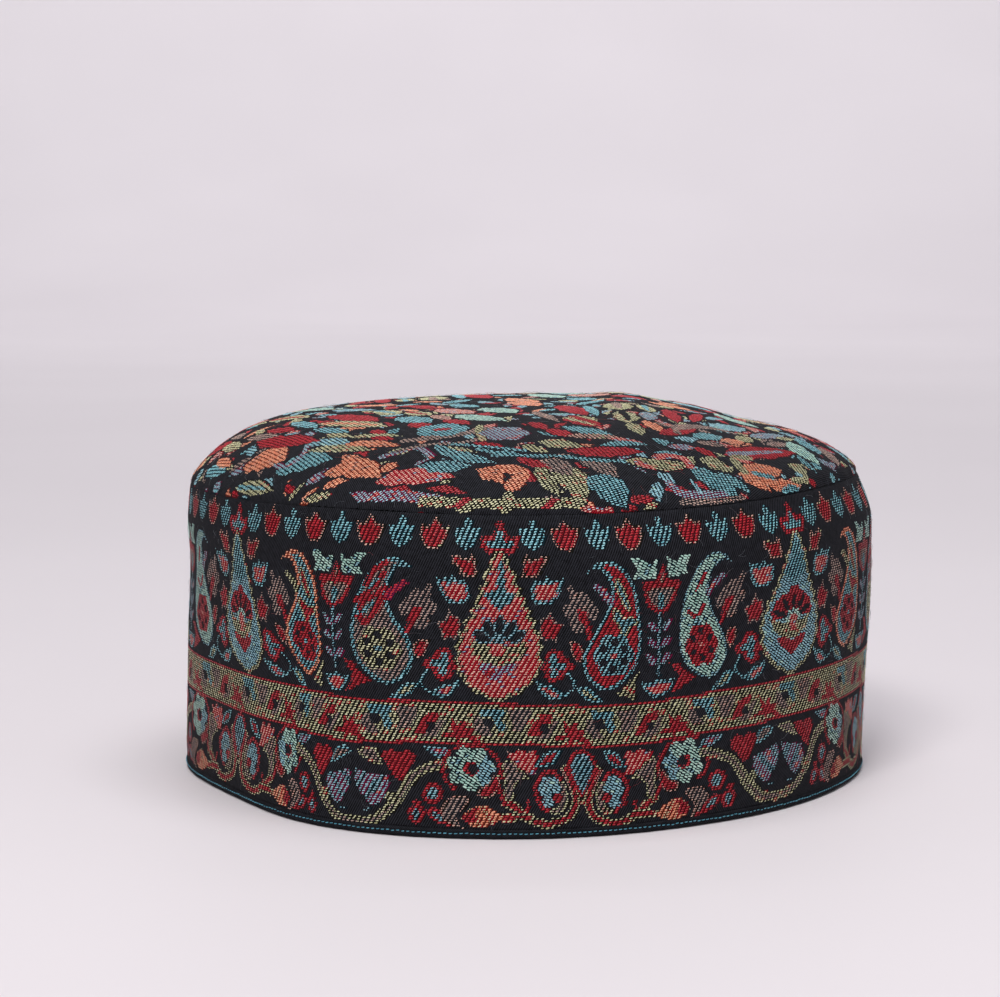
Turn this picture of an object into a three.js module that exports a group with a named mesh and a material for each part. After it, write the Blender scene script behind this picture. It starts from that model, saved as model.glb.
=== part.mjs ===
// A kashmiri kani cap: a pillbox cap of woven shawl cloth, with a domed crown,
// an upright side band and a narrow folded hem.
// Millimetres, +Z up. The origin is the centre of the hem's underside, and the
// front of the cap looks along -Y.
import * as THREE from "three";

// Driving dimensions
const HEM_RADIUS = 92.5; // mean outer radius at the hem: a head opening of size 58
const SEAM_RADIUS = 90.8; // mean outer radius where the band meets the crown
const SEAM_HEIGHT = 80.2; // mean height of that seam
const CROWN_HEIGHT = 100.1; // top of the dome
const BAND_THICKNESS = 2.4;
const CROWN_THICKNESS = 2;
const HEM_THICKNESS = 3;
const HEM_HEIGHT = 2;
const HEM_BEVEL = 0.6; // rounding of the fold's four edges
const GAP = 0.3; // left between pieces that are sewn together
const CROWN_TILT = 1.3; // how much fuller the dome's shoulder is on its -X side
const SHOULDER = 0.8; // share of the radius where it is fullest
const PLAN_FADE = 0.65; // share of the hem's unevenness that is gone at the seam

// Segments round the cap and along each profile
const ROUND_STEPS = 80;
const BAND_STEPS = 10;
const CROWN_STEPS = 12;

// The wall in equal steps of height from floor to seam: out is added to the
// radius, and shift moves the whole section along +X, as the soft wall leans.
const WALL = [
  { out: 0, shift: -0.6 },
  { out: 0.15, shift: -0.4 },
  { out: 0.25, shift: -0.2 },
  { out: 0.45, shift: 0.1 },
  { out: 0.75, shift: 0.5 },
  { out: 0.75, shift: 0.9 },
  { out: 0.65, shift: 1 },
  { out: 0.7, shift: 0.5 },
  { out: SEAM_RADIUS - HEM_RADIUS, shift: -0.9 },
];

// The dome is an oval of these powers: height = (1 - radius^a)^b, both from 0 to 1.
const DOME_POWER = { radius: 3.5, height: 0.695 };

// Soft folds that run front to back over the dome, each a smooth ridge or dip.
const FOLDS = [
  { x: -47, width: 37, height: -1.3 },
  { x: 28, width: 8, height: 1.4 },
  { x: 61, width: 10, height: -2.2 },
];

// How the cap differs from a round one, in equal steps of angle. Angles run from
// the front, -Y, towards +X. out is added to the hem's radius, rise to the seam.
const ROUND = [
  { degrees: -180, out: 0.3, rise: 0 },
  { degrees: -150, out: 0, rise: -0.6 },
  { degrees: -120, out: 0, rise: -1.3 },
  { degrees: -90, out: 0.7, rise: -1.8 },
  { degrees: -60, out: -3.5, rise: -1.3 },
  { degrees: -30, out: 3.2, rise: -0.2 },
  { degrees: 0, out: 1.8, rise: -0.5 },
  { degrees: 30, out: -2.4, rise: 0 },
  { degrees: 60, out: -2.6, rise: 1.3 },
  { degrees: 90, out: 0.7, rise: 1.3 },
  { degrees: 120, out: 0.6, rise: 0.8 },
  { degrees: 150, out: 0, rise: 0.3 },
];

const COLOURS = { cloth: 0x2a2326, crown: 0x3a2a2c, hem: 0x14191c };

// A smooth curve through four values in equal steps, at t from the second to the third.
function smooth([a, b, c, d], t) {
  return (
    b +
    ((c - a) * t) / 2 +
    ((2 * a - 5 * b + 4 * c - d) * t ** 2) / 2 +
    ((3 * b - a - 3 * c + d) * t ** 3) / 2
  );
}

// A column of ROUND at any angle, closing on itself.
function roundValue(column, degrees) {
  const rows = ROUND.length;
  const place = ((degrees - ROUND[0].degrees) * rows) / 360;
  const first = Math.floor(place);
  const near = [-1, 0, 1, 2].map((k) => ROUND[(first + k + rows) % rows][column]);
  return smooth(near, place - first);
}

// A column of WALL at a fraction of the height, carried straight on past its ends.
function wallValue(column, fraction) {
  const last = WALL.length - 1;
  const place = fraction * last;
  const first = Math.min(Math.floor(place), last - 1);
  const near = [-1, 0, 1, 2].map((k) => {
    const row = Math.min(Math.max(first + k, 0), last);
    const inward = row === 0 ? 1 : last - 1;
    const past = first + k === row ? 0 : 1;
    return WALL[row][column] * (1 + past) - WALL[inward][column] * past;
  });
  return smooth(near, place - first);
}

// The dome's height above the seam, at a fraction of its radius.
function domeHeight(fraction, rise) {
  const { radius, height } = DOME_POWER;
  return rise * (1 - fraction ** radius) ** height;
}

function foldHeight(x) {
  const ridges = FOLDS.map((fold) => {
    const away = (x - fold.x) / fold.width;
    return fold.height * Math.exp(-(away ** 2));
  });
  return ridges.reduce((sum, ridge) => sum + ridge, 0);
}

// Moves each vertex of a round piece to its place on the uneven soft cap.
function settle(geometry) {
  const position = geometry.getAttribute("position");
  for (let i = 0; i < position.count; i += 1) {
    const [x, y, z] = [position.getX(i), position.getY(i), position.getZ(i)];
    const radius = Math.hypot(x, y);
    const angle = Math.atan2(x, -y);
    const degrees = THREE.MathUtils.radToDeg(angle);
    const up = Math.min(z / SEAM_HEIGHT, 1);
    const domed = Math.max(z - SEAM_HEIGHT, 0) / (CROWN_HEIGHT - SEAM_HEIGHT);
    // On the crown only: 0 on the axis and 1 at the rim.
    const share = Math.min(radius / (SEAM_RADIUS - CROWN_THICKNESS), 1);
    const shoulder = (share / SHOULDER) ** 4 * ((1 - share) / (1 - SHOULDER));
    const fuller = domed > 0 ? shoulder : 0;
    const flat = domed > 0 ? 1 - share ** 2 : 0;
    const out = roundValue("out", degrees) * (1 - PLAN_FADE * up) * share;
    const rise = roundValue("rise", degrees) * up * (1 - domed);
    position.setXYZ(
      i,
      (radius + out) * Math.sin(angle) + wallValue("shift", up),
      -(radius + out) * Math.cos(angle),
      z + rise - CROWN_TILT * fuller * Math.sin(angle) + flat * foldHeight(x),
    );
  }
  return geometry;
}

// A named mesh turned from a closed profile of [radius, height] corners.
function turned(name, profile, colour) {
  const corners = profile.map(([r, z]) => new THREE.Vector2(r, z));
  const geometry = new THREE.LatheGeometry(corners, ROUND_STEPS);
  geometry.rotateX(Math.PI / 2);
  const material = new THREE.MeshStandardMaterial({
    color: colour,
    roughness: 0.9,
    metalness: 0,
  });
  const mesh = new THREE.Mesh(settle(geometry), material);
  mesh.name = name;
  return mesh;
}

function fractions(steps) {
  return Array.from({ length: steps + 1 }, (_, i) => i / steps);
}

// The folded bottom edge, flat underneath.
function hemEdge() {
  const outer = HEM_RADIUS + (HEM_THICKNESS - BAND_THICKNESS) / 2;
  const inner = outer - HEM_THICKNESS;
  const top = HEM_HEIGHT;
  return turned(
    "hem_edge",
    [
      [inner + HEM_BEVEL, 0],
      [outer - HEM_BEVEL, 0],
      [outer, HEM_BEVEL],
      [outer, top - HEM_BEVEL],
      [outer - HEM_BEVEL, top],
      [inner + HEM_BEVEL, top],
      [inner, top - HEM_BEVEL],
      [inner, HEM_BEVEL],
      [inner + HEM_BEVEL, 0],
    ],
    COLOURS.hem,
  );
}

// The upright wall, from the hem to the seam.
function sideBand() {
  const low = HEM_HEIGHT + GAP;
  const high = SEAM_HEIGHT - GAP / 2;
  const outside = fractions(BAND_STEPS).map((f) => {
    const z = low + (high - low) * f;
    return [HEM_RADIUS + wallValue("out", z / SEAM_HEIGHT), z];
  });
  const inside = outside.map(([r, z]) => [r - BAND_THICKNESS, z]).reverse();
  return turned("side_band", [...outside, ...inside, outside[0]], COLOURS.cloth);
}

// The domed top, which rounds over the shoulder down to the seam.
function crownTop() {
  const base = SEAM_HEIGHT + GAP / 2;
  const rise = CROWN_HEIGHT - base;
  // Equal turns of an angle crowd the rings towards the shoulder, where it curves most.
  const rings = fractions(CROWN_STEPS).map((f) => Math.sin((f * Math.PI) / 2));
  const shell = (rim, height) =>
    rings.map((f) => [rim * f, base + domeHeight(f, height)]);
  const outside = shell(SEAM_RADIUS, rise).reverse();
  const inside = shell(SEAM_RADIUS - CROWN_THICKNESS, rise - CROWN_THICKNESS);
  return turned("crown_top", [...inside, ...outside], COLOURS.crown);
}

const cap = new THREE.Group();
cap.add(hemEdge(), sideBand(), crownTop());

export default cap;
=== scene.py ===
import math

import bpy
import numpy as np
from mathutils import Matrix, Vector


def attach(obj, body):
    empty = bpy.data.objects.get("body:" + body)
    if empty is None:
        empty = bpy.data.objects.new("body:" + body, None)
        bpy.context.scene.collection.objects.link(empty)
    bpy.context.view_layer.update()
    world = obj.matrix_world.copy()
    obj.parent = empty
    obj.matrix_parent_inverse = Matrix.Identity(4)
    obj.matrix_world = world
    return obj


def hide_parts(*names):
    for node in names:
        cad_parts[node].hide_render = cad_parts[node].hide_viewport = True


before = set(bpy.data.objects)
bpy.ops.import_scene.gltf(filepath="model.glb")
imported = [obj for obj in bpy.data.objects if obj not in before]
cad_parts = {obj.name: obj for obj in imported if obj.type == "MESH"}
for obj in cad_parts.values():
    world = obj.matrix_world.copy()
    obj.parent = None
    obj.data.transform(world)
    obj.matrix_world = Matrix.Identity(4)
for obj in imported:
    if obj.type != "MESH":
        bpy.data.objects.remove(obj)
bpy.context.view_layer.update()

MM = 0.001
random = np.random.default_rng(1846)

# The cap's shape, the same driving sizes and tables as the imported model's
HEM_RADIUS = 92.5
SEAM_RADIUS = 90.8
SEAM_HEIGHT = 80.2
CROWN_HEIGHT = 100.1
BAND_THICKNESS = 2.4
CROWN_THICKNESS = 2.0
HEM_TOP = 2.3
SEAM_GAP = 0.04
BAND_TOP = SEAM_HEIGHT - SEAM_GAP / 2
CROWN_TILT = 1.3
SHOULDER = 0.8
PLAN_FADE = 0.65
DOME_POWER = (3.5, 0.695)
WALL_OUT = (0, 0.15, 0.25, 0.45, 0.75, 0.75, 0.65, 0.7, SEAM_RADIUS - HEM_RADIUS)
WALL_SHIFT = (-0.6, -0.4, -0.2, 0.1, 0.5, 0.9, 1, 0.5, -0.9)
FOLDS = ((-47, 37, -1.3), (28, 8, 1.4), (61, 10, -2.2))  # x, width, height
# Every 30 degrees from the back, through -X, the front and +X
ROUND_OUT = (0.3, 0, 0, 0.7, -3.5, 3.2, 1.8, -2.4, -2.6, 0.7, 0.6, 0)
ROUND_RISE = (0, -0.6, -1.3, -1.8, -1.3, -0.2, -0.5, 0, 1.3, 1.3, 0.8, 0.3)

# The cloth's own relief
SEAM_DIP = 0.22  # how far the cloth dips into the seam
SEAM_DIP_WIDTH = 0.5
JOIN_DIP = 0.9  # and into the plain join at the back
JOIN_DIP_WIDTH = 0.7
JOIN_SWELL = 0.25  # beside the join
RIM_TURN = 0.02  # of the crown's cloth, turned in at the seam

# The weave
CELLS_ROUND = 448  # dashes in one row round the band
ROW = 0.602  # from one row to the next
TWILL_STEP = 0.25  # of a dash, that each row starts further along
FRONT_ANGLE = -5.0  # where the middle boteh stands, in degrees from the front
REPEAT = 84.0  # from one boteh to the next
GUARD_REPEAT = REPEAT / 3
BORDER_REPEAT = REPEAT * 4 / 3
CROWN_PITCH = 1.22
CROWN_STEP = -0.25


# Shape of the cloth

def bell(distance, reach):
    return np.exp(-((distance / reach) ** 2))


def eased(distance, reach):
    """From 0 to 1 over a distance."""
    return np.clip(distance / reach, 0, 1)


def through(values, place):
    """A smooth curve through values in equal steps; place 0 is the second value."""
    values = np.asarray(values, float)
    first = np.clip(np.floor(place).astype(int), 0, len(values) - 4)
    t = place - first
    a, b, c, d = (values[first + k] for k in range(4))
    bend = (2 * a - 5 * b + 4 * c - d) * t**2 + (3 * b - a - 3 * c + d) * t**3
    return b + ((c - a) * t + bend) / 2


def round_value(column, angle):
    place = (np.degrees(angle) + 180) % 360 / 30
    return through((column[-1], *column, column[0], column[1]), place)


def wall_value(column, fraction):
    ends = (2 * column[0] - column[1], *column, 2 * column[-1] - column[-2])
    return through(ends, np.asarray(fraction) * (len(column) - 1))


def settled(angle, radius, z):
    """Moves points of a round cap to their places on the uneven soft one."""
    up = np.minimum(z / SEAM_HEIGHT, 1)
    domed = np.maximum(z - SEAM_HEIGHT, 0) / (CROWN_HEIGHT - SEAM_HEIGHT)
    share = np.minimum(radius / (SEAM_RADIUS - CROWN_THICKNESS), 1)
    fuller = np.where(domed > 0, (share / SHOULDER) ** 4 * (1 - share) / (1 - SHOULDER), 0)
    flat = np.where(domed > 0, 1 - share**2, 0)
    out = round_value(ROUND_OUT, angle) * (1 - PLAN_FADE * up) * share
    rise = round_value(ROUND_RISE, angle) * up * (1 - domed)
    x = radius * np.sin(angle)
    folds = sum(height * bell(x - at, width) for at, width, height in FOLDS)
    return np.stack(
        [
            (radius + out) * np.sin(angle) + wall_value(WALL_SHIFT, up),
            -(radius + out) * np.cos(angle),
            z + rise - CROWN_TILT * fuller * np.sin(angle) + flat * folds,
        ],
        axis=-1,
    )


def plain_wall(angle, height, inward=0.0):
    radius = HEM_RADIUS + wall_value(WALL_OUT, height / SEAM_HEIGHT) - inward
    return settled(angle, radius, height)


# Lengths round the band at mid height, from the middle boteh
RING_SAMPLES = 2881
TURNS = np.radians(np.linspace(-180, 180, RING_SAMPLES))
RING = plain_wall(TURNS, np.full(TURNS.shape, SEAM_HEIGHT / 2))
RING_LENGTHS = np.concatenate([[0], np.cumsum(np.linalg.norm(np.diff(RING, axis=0), axis=1))])
RING_LENGTHS -= np.interp(math.radians(FRONT_ANGLE), TURNS, RING_LENGTHS)
BACK_LEFT = RING_LENGTHS[0]
BACK_RIGHT = RING_LENGTHS[-1]
RING_LENGTH = BACK_RIGHT - BACK_LEFT
PITCH = RING_LENGTH / CELLS_ROUND


def wrapped(s):
    return (s - BACK_LEFT) % RING_LENGTH + BACK_LEFT


def angle_at(s):
    return np.interp(wrapped(s), RING_LENGTHS, TURNS)


def wall_relief(s, v):
    """Soft undulation of the cloth, its dip into the seam and its join at the back."""
    s = wrapped(s)
    soft = 0.16 * np.sin(s / 13 + v / 31) + 0.12 * np.sin(s / 7.3 - v / 17 + 1)
    seam = SEAM_DIP * bell(SEAM_HEIGHT - v, SEAM_DIP_WIDTH)
    to_join = np.minimum(s - BACK_LEFT, BACK_RIGHT - s)
    join = JOIN_DIP * bell(to_join, JOIN_DIP_WIDTH) - JOIN_SWELL * bell(to_join - 3, 2)
    fade = eased(v, 6) * eased(SEAM_HEIGHT - v, 6) * eased(to_join, 6)
    return soft * fade - seam - join


def wall_point(s, v):
    return plain_wall(angle_at(s), v, -wall_relief(s, v))


# The dome's length from its middle to each share of its radius
DOME_BASE = SEAM_HEIGHT + SEAM_GAP / 2
DOME_RISE = CROWN_HEIGHT - DOME_BASE
DOME_SAMPLES = 4001
SHARES = np.sin(np.linspace(0, math.pi / 2, DOME_SAMPLES))


def dome_height(share, rise):
    radius_power, height_power = DOME_POWER
    return rise * (1 - np.clip(share, 0, 1) ** radius_power) ** height_power


DOME_STEPS = np.hypot(np.diff(SEAM_RADIUS * SHARES), np.diff(dome_height(SHARES, DOME_RISE)))
DOME_LENGTHS = np.concatenate([[0], np.cumsum(DOME_STEPS)])
CLOTH_RADIUS = DOME_LENGTHS[-1]


def crown_relief(angle, length):
    """Small puckers where the flat crown is eased into the seam, and its dip there."""
    edge = CLOTH_RADIUS - length
    puckers = 0.2 * np.sin(angle * 37 + 2 * np.sin(angle * 5)) * bell(edge, 5)
    soft = 0.12 * np.sin(length * np.sin(angle) / 9) * np.sin(length * np.cos(angle) / 11)
    seam = SEAM_DIP * bell(edge, SEAM_DIP_WIDTH)
    return puckers * eased(edge, 1.5) + soft * eased(edge, 8) - seam


def crown_point(x, y):
    """The dome's place for a point of the flat round cloth that it is made from."""
    length = np.hypot(x, y)
    angle = np.arctan2(x, -y)
    share = np.interp(length, DOME_LENGTHS, SHARES)
    lift = crown_relief(angle, length)
    steep = share**6
    radius = SEAM_RADIUS * share + lift * steep
    height = DOME_BASE + dome_height(share, DOME_RISE) + lift * (1 - steep)
    return settled(angle, radius, height)


# Drawing on the weave

GROUNDS = ("black", "maroon", "crimson", "teal", "navy", "rust", "olive", "plum")
YARNS = ("turquoise", "yellow", "mint", "light_blue", "peach", "cream", "taupe", "red")
# Each weave is a ground, the yarn of the dashes over it and how they lie.
WEAVES = {
    "black": ("black", None, "twill"),
    "red": ("maroon", "red", "twill"),
    "rose": ("crimson", "cream", "twill"),
    "cream": ("olive", "cream", "twill"),
    "turquoise": ("teal", "turquoise", "twill"),
    "blue": ("navy", "turquoise", "twill"),
    "steel": ("teal", "light_blue", "float"),
    "ice": ("teal", "light_blue", "twill"),
    "lavender": ("plum", "light_blue", "twill"),
    "magenta": ("plum", "red", "twill"),
    "yellow": ("olive", "yellow", "twill"),
    "gold": ("crimson", "yellow", "twill"),
    "mint": ("teal", "mint", "float"),
    "taupe": ("black", "taupe", "twill"),
    "peach": ("rust", "peach", "twill"),
}
WEAVE_NAMES = list(WEAVES)
THREADS = 4  # in one repeat of the twill: a dash passes over three and under the last
OVER = 3

EVERYWHERE = 1e6  # a pen's reach, in mm, where it draws on the whole cloth
# Half of a leaf's edge: how far along it, and how far out in shares of its width
LEAF_SIDE = ((0.1, 0.22), (0.24, 0.46), (0.36, 0.4), (0.52, 0.54), (0.64, 0.42), (0.78, 0.36), (0.86, 0.2))


class Chart:
    """The threads that dashes pass over: where each lies, in mm, and its weave."""

    def __init__(self, x, y, pitch):
        """Cells are given by their middles; each gets its three threads in a row."""
        thread = pitch / THREADS
        self.thread = thread
        steps = (np.arange(OVER) + 0.5 - THREADS / 2) * thread
        self.x = (x[:, None] + steps).ravel()
        self.y = np.repeat(y, OVER)
        self.weave = np.zeros(len(self.x), int)

    def ground(self):
        """Each cell's ground colour, from most of its threads."""
        one, two, three = self.weave.reshape(-1, OVER).T
        return ground_of(np.where(one == three, one, two))

    def runs(self):
        """The dashes: threads of one weave side by side in a cell. Place and length."""
        one, two, three = self.weave.reshape(-1, OVER).T
        x = self.x.reshape(-1, OVER)
        y = self.y[::OVER]
        full = (one == two) & (two == three)
        left = (one == two) & ~full
        right = (two == three) & ~full
        loose = ~(full | left | right)
        parts = (
            (full, x[:, 1], one, 3),
            (left, (x[:, 0] + x[:, 1]) / 2, one, 2),
            (left | loose, x[:, 2], three, 1),
            (right, (x[:, 1] + x[:, 2]) / 2, two, 2),
            (right | loose, x[:, 0], one, 1),
            (loose, x[:, 1], two, 1),
        )
        place = np.concatenate([at[some] for some, at, _, _ in parts])
        height = np.concatenate([y[some] for some, _, _, _ in parts])
        weave = np.concatenate([kind[some] for some, _, kind, _ in parts])
        length = np.concatenate([np.full(some.sum(), count) for some, _, _, count in parts])
        return place, height, weave, length


def bent(points, closed=False, steps=4):
    """A smooth line through points."""
    points = np.asarray(points, float)
    if closed:
        ring = np.concatenate([points[-1:], points, points[:2]])
    else:
        ring = np.concatenate([2 * points[:1] - points[1:2], points, 2 * points[-1:] - points[-2:-1]])
    count = len(ring) - 3
    place = np.linspace(0, count, count * steps, endpoint=False)
    if not closed:
        place = np.append(place, count)
    return np.stack([through(ring[:, k], place) for k in (0, 1)], axis=-1)


def turned(x, y, degrees):
    """Places as seen from axes that are turned by an angle."""
    c = math.cos(math.radians(degrees))
    s = math.sin(math.radians(degrees))
    return x * c + y * s, y * c - x * s


class Pen:
    """Draws one motif from its own middle. It may be mirrored or turned."""

    def __init__(self, chart, x, y, mirror=1, turn=0.0, reach=32.0):
        near = np.abs(chart.x - x) < reach
        self.cells = np.flatnonzero(near)
        right, up = turned(chart.x[near] - x, chart.y[near] - y, turn)
        self.x = mirror * right
        self.y = up
        self.chart = chart

    def paint(self, mask, weave):
        self.chart.weave[self.cells[mask]] = WEAVE_NAMES.index(weave)

    def near(self, line, margin):
        low = line.min(0) - margin
        high = line.max(0) + margin
        inside = (self.x > low[0]) & (self.x < high[0]) & (self.y > low[1]) & (self.y < high[1])
        return np.flatnonzero(inside)

    def distance(self, some, line, widths=None):
        """How far some cells are from a line, less half its width there."""
        x = self.x[some, None]
        y = self.y[some, None]
        a = line[:-1]
        b = line[1:]
        along = b - a
        size = np.maximum((along**2).sum(1), 1e-9)
        t = np.clip(((x - a[:, 0]) * along[:, 0] + (y - a[:, 1]) * along[:, 1]) / size, 0, 1)
        gap = np.hypot(x - a[:, 0] - t * along[:, 0], y - a[:, 1] - t * along[:, 1])
        if widths is not None:
            gap = gap - (widths[:-1] * (1 - t) + widths[1:] * t) / 2
        return gap.min(1)

    def fill(self, outline, weave, edge=None, smooth=False, stripes=None, over=None):
        """Fills a closed outline. edge is a width and a weave; stripes are a slant, a
        step, a share of it and a weave; over keeps to cells of one weave."""
        loop = bent(outline, closed=True) if smooth else np.asarray(outline, float)
        some = self.near(loop, 0.1)
        x = self.x[some, None]
        y = self.y[some, None]
        a = loop
        b = np.roll(loop, -1, axis=0)
        crosses = (a[:, 1] > y) != (b[:, 1] > y)
        rise = np.where(b[:, 1] == a[:, 1], 1e-9, b[:, 1] - a[:, 1])
        left = x < a[:, 0] + (y - a[:, 1]) * (b[:, 0] - a[:, 0]) / rise
        some = some[(crosses & left).sum(1) % 2 == 1]
        if over:
            some = some[self.chart.weave[self.cells[some]] == WEAVE_NAMES.index(over)]
        self.paint(some, weave)
        if stripes:
            slope, period, share, other = stripes
            phase = (self.x[some] + slope * self.y[some]) / period % 1
            self.paint(some[phase < share], other)
        if edge:
            width, edge_weave = edge
            away = self.distance(some, np.concatenate([loop, loop[:1]]))
            self.paint(some[away < width], edge_weave)

    def line(self, points, width, weave, end=None, smooth=True):
        """A stroke, which narrows or widens to another width at its end if asked."""
        path = bent(points) if smooth and len(points) > 2 else np.asarray(points, float)
        widths = np.linspace(width, width if end is None else end, len(path))
        some = self.near(path, width + 2)
        self.paint(some[self.distance(some, path, widths) < 0], weave)

    def oval(self, x, y, wide, high, weave, turn=0.0, edge=None, width=1.0):
        """An oval of a width and a height, with an edge of another weave if asked."""
        right, up = turned(self.x - x, self.y - y, turn)
        self.paint(np.hypot(2 * right / wide, 2 * up / high) < 1, edge or weave)
        if edge:
            inner = np.hypot(right / (wide / 2 - width), up / (high / 2 - width)) < 1
            self.paint(inner, weave)

    def flower(self, x, y, radius, petals, weave, dent, turn=0.0):
        """A round flower whose edge dips between its petals."""
        dx = self.x - x
        dy = self.y - y
        angle = np.arctan2(dy, dx) - math.radians(turn)
        edge = radius * (1 - dent * (1 - np.abs(np.cos(angle * petals / 2))))
        self.paint(np.hypot(dx, dy) < edge, weave)

    def leaf(self, start, end, wide, weave, bend=0.0, core=None):
        """A pointed leaf between two points, with a line of another weave inside."""
        a = np.asarray(start, float)
        b = np.asarray(end, float)
        across = np.array([a[1] - b[1], b[0] - a[0]]) / np.linalg.norm(b - a)
        middle = [a + (b - a) * t + across * bend * 4 * t * (1 - t) for t, _ in LEAF_SIDE]
        one = [m + across * wide * w for m, (_, w) in zip(middle, LEAF_SIDE)]
        other = [m - across * wide * w for m, (_, w) in zip(middle, LEAF_SIDE)]
        self.fill([a, *one, b, *other[::-1]], weave)
        if core:
            self.line([middle[0], middle[3], middle[5]], wide * 0.34, core, wide * 0.2)


def mirrored(points):
    """Points of one side, closed by their mirror images."""
    return [*points, *[(-x, y) for x, y in reversed(points)]]


# The band's motifs. Heights are from the floor.

BOTEH_SIDE = (
    (0.3, 72), (1.2, 71.2), (1.7, 70), (2.7, 69.2), (2.4, 67.6), (3.5, 66.8), (4.3, 65.6), (3.8, 64),
    (5.2, 62.8), (4.8, 61.2), (6.3, 59.8), (6, 58.2), (7.5, 57.2), (7.1, 55.6), (9.1, 54.4), (8.6, 52.6),
    (10.3, 51.2), (9.8, 49.4), (11, 47.8), (10.1, 46), (11, 44.4), (10, 42.6), (10, 41), (8.7, 40.2),
    (8.2, 38.6), (6.7, 37.8), (5.6, 36.4), (3.6, 35.9), (2, 34.7), (0.3, 34.2),
)
FINIAL = (
    (0, 78.8), (1, 78), (1.1, 76.4), (2, 75.3), (3.2, 74.7), (4.4, 75.4), (5, 74.4), (4.8, 72.8),
    (4, 71.6), (2.4, 70.6), (1.6, 71.4), (0, 71.8),
)
FINIAL_INSIDE = (
    (0, 76.6), (0.8, 76), (0.9, 74.4), (1.8, 73.6), (3, 74.1), (3.9, 73.6), (3, 72.4), (1.6, 72),
    (0, 72.3),
)


def boteh(chart, at, rose):
    """The upright drop in the middle of each repeat, with its finial."""
    pen = Pen(chart, at, 0)
    pen.fill(mirrored(BOTEH_SIDE), "rose" if rose else "steel", (0.95, "yellow"))
    if rose:
        rose_boteh_inside(pen)
    else:
        pale_boteh_inside(pen)
    pen.fill(mirrored(FINIAL), "red")
    pen.fill(mirrored(FINIAL_INSIDE), "turquoise")


FAN_FOOT = (-0.1, 48.6)


def fan_petals(pen, tilts, reach, wide, high, rim=None):
    """Dark petals spread round the foot, each with a rim of another weave if asked."""
    for tilt in tilts:
        x = FAN_FOOT[0] + reach * math.sin(math.radians(tilt))
        y = FAN_FOOT[1] + reach * math.cos(math.radians(tilt))
        if rim:
            pen.oval(x, y, wide + 1.3, high + 1, rim, turn=-tilt)
        pen.oval(x, y, wide, high, "black", turn=-tilt)


def rose_boteh_inside(pen):
    """A turquoise spear, dark petals edged with light blue, and two crescents."""
    pen.line([(0.3, 68.6), (0.3, 65.6), (0, 61.6)], 1.3, "turquoise", 2.4)
    pen.fill([(-3.9, 60.4), (-3.4, 61.6), (-1.9, 61.9), (-0.8, 61), (0.8, 61), (1.9, 61.8), (3.2, 61.6),
              (3.7, 60.4), (2.6, 59), (0.9, 57.8), (0, 56.6), (-1.1, 57.8), (-2.8, 59.2)], "turquoise")
    fan_petals(pen, (-66, 64, -34, 33, 0), 4.6, 1.9, 4.4, "ice")
    pen.oval(-0.1, 49.2, 2.2, 3, "ice")
    pen.fill([(-7.2, 49.8), (-4.8, 48.7), (-2, 48.4), (0, 48.8), (2.2, 48.2), (4.4, 48.7), (6.8, 49.7),
              (6.5, 47.4), (5, 45), (2.4, 43.6), (-1.6, 43.3), (-4.6, 44.2), (-6.9, 46)], "yellow")
    pen.fill([(-2.2, 46.4), (-1.4, 48.6), (0.6, 48.4), (1, 46.6), (-0.6, 45.6)], "rose", smooth=True)
    pen.fill([(-5.2, 44.2), (-2.4, 43.8), (0, 42.9), (2.2, 43.9), (4.7, 44.1), (3.2, 42), (1.2, 41.2),
              (0.2, 39.6), (-1.8, 40), (-4.6, 42.1)], "lavender")
    pen.fill([(-3.4, 42), (-0.7, 42), (-2.1, 40.2)], "red")


def pale_boteh_inside(pen):
    """A turquoise spade, a red fan with dark petals, a crescent and a red heart."""
    pen.fill(mirrored([(0, 69.5), (1.4, 68.6), (2, 66.6), (2.5, 64), (4, 62.8), (4.4, 61.2), (2.9, 59.8),
                       (1, 58.9), (0, 57.6)]), "turquoise")
    pen.fill([(-7.5, 51.2), (-6.4, 53.4), (-4.4, 55.2), (-2, 55.9), (-1.5, 57.1), (0, 57.6), (1.4, 57),
              (2, 55.8), (4.4, 54.9), (6.3, 53.1), (7.3, 50.8), (6.4, 49.2), (-6.6, 49.4)], "red")
    fan_petals(pen, (-66, -33, 0, 33, 66), 4.8, 1.5, 4.6)
    pen.oval(0, 49.3, 5.4, 4.2, "mint")
    pen.oval(0, 48.9, 2.8, 2.6, "rose")
    pen.fill([(-7.8, 49.8), (-4.6, 48.5), (-2.4, 47.8), (0, 48.4), (2.4, 47.8), (4.6, 48.5), (6.9, 49.6),
              (5.4, 46), (2, 44), (0, 43.6), (-3, 44), (-6, 46)], "yellow")
    pen.fill([(-1.4, 48.2), (1.4, 48.2), (0.9, 45.6), (-0.9, 45.6)], "rose")
    pen.fill([(-5.6, 44.6), (-3.4, 44.4), (0, 43.3), (3.4, 44.4), (5.2, 44.6), (4.2, 42.4), (1.6, 40.6),
              (0, 39.3), (-1.6, 40.6), (-4.4, 42.4)], "red")


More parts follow.
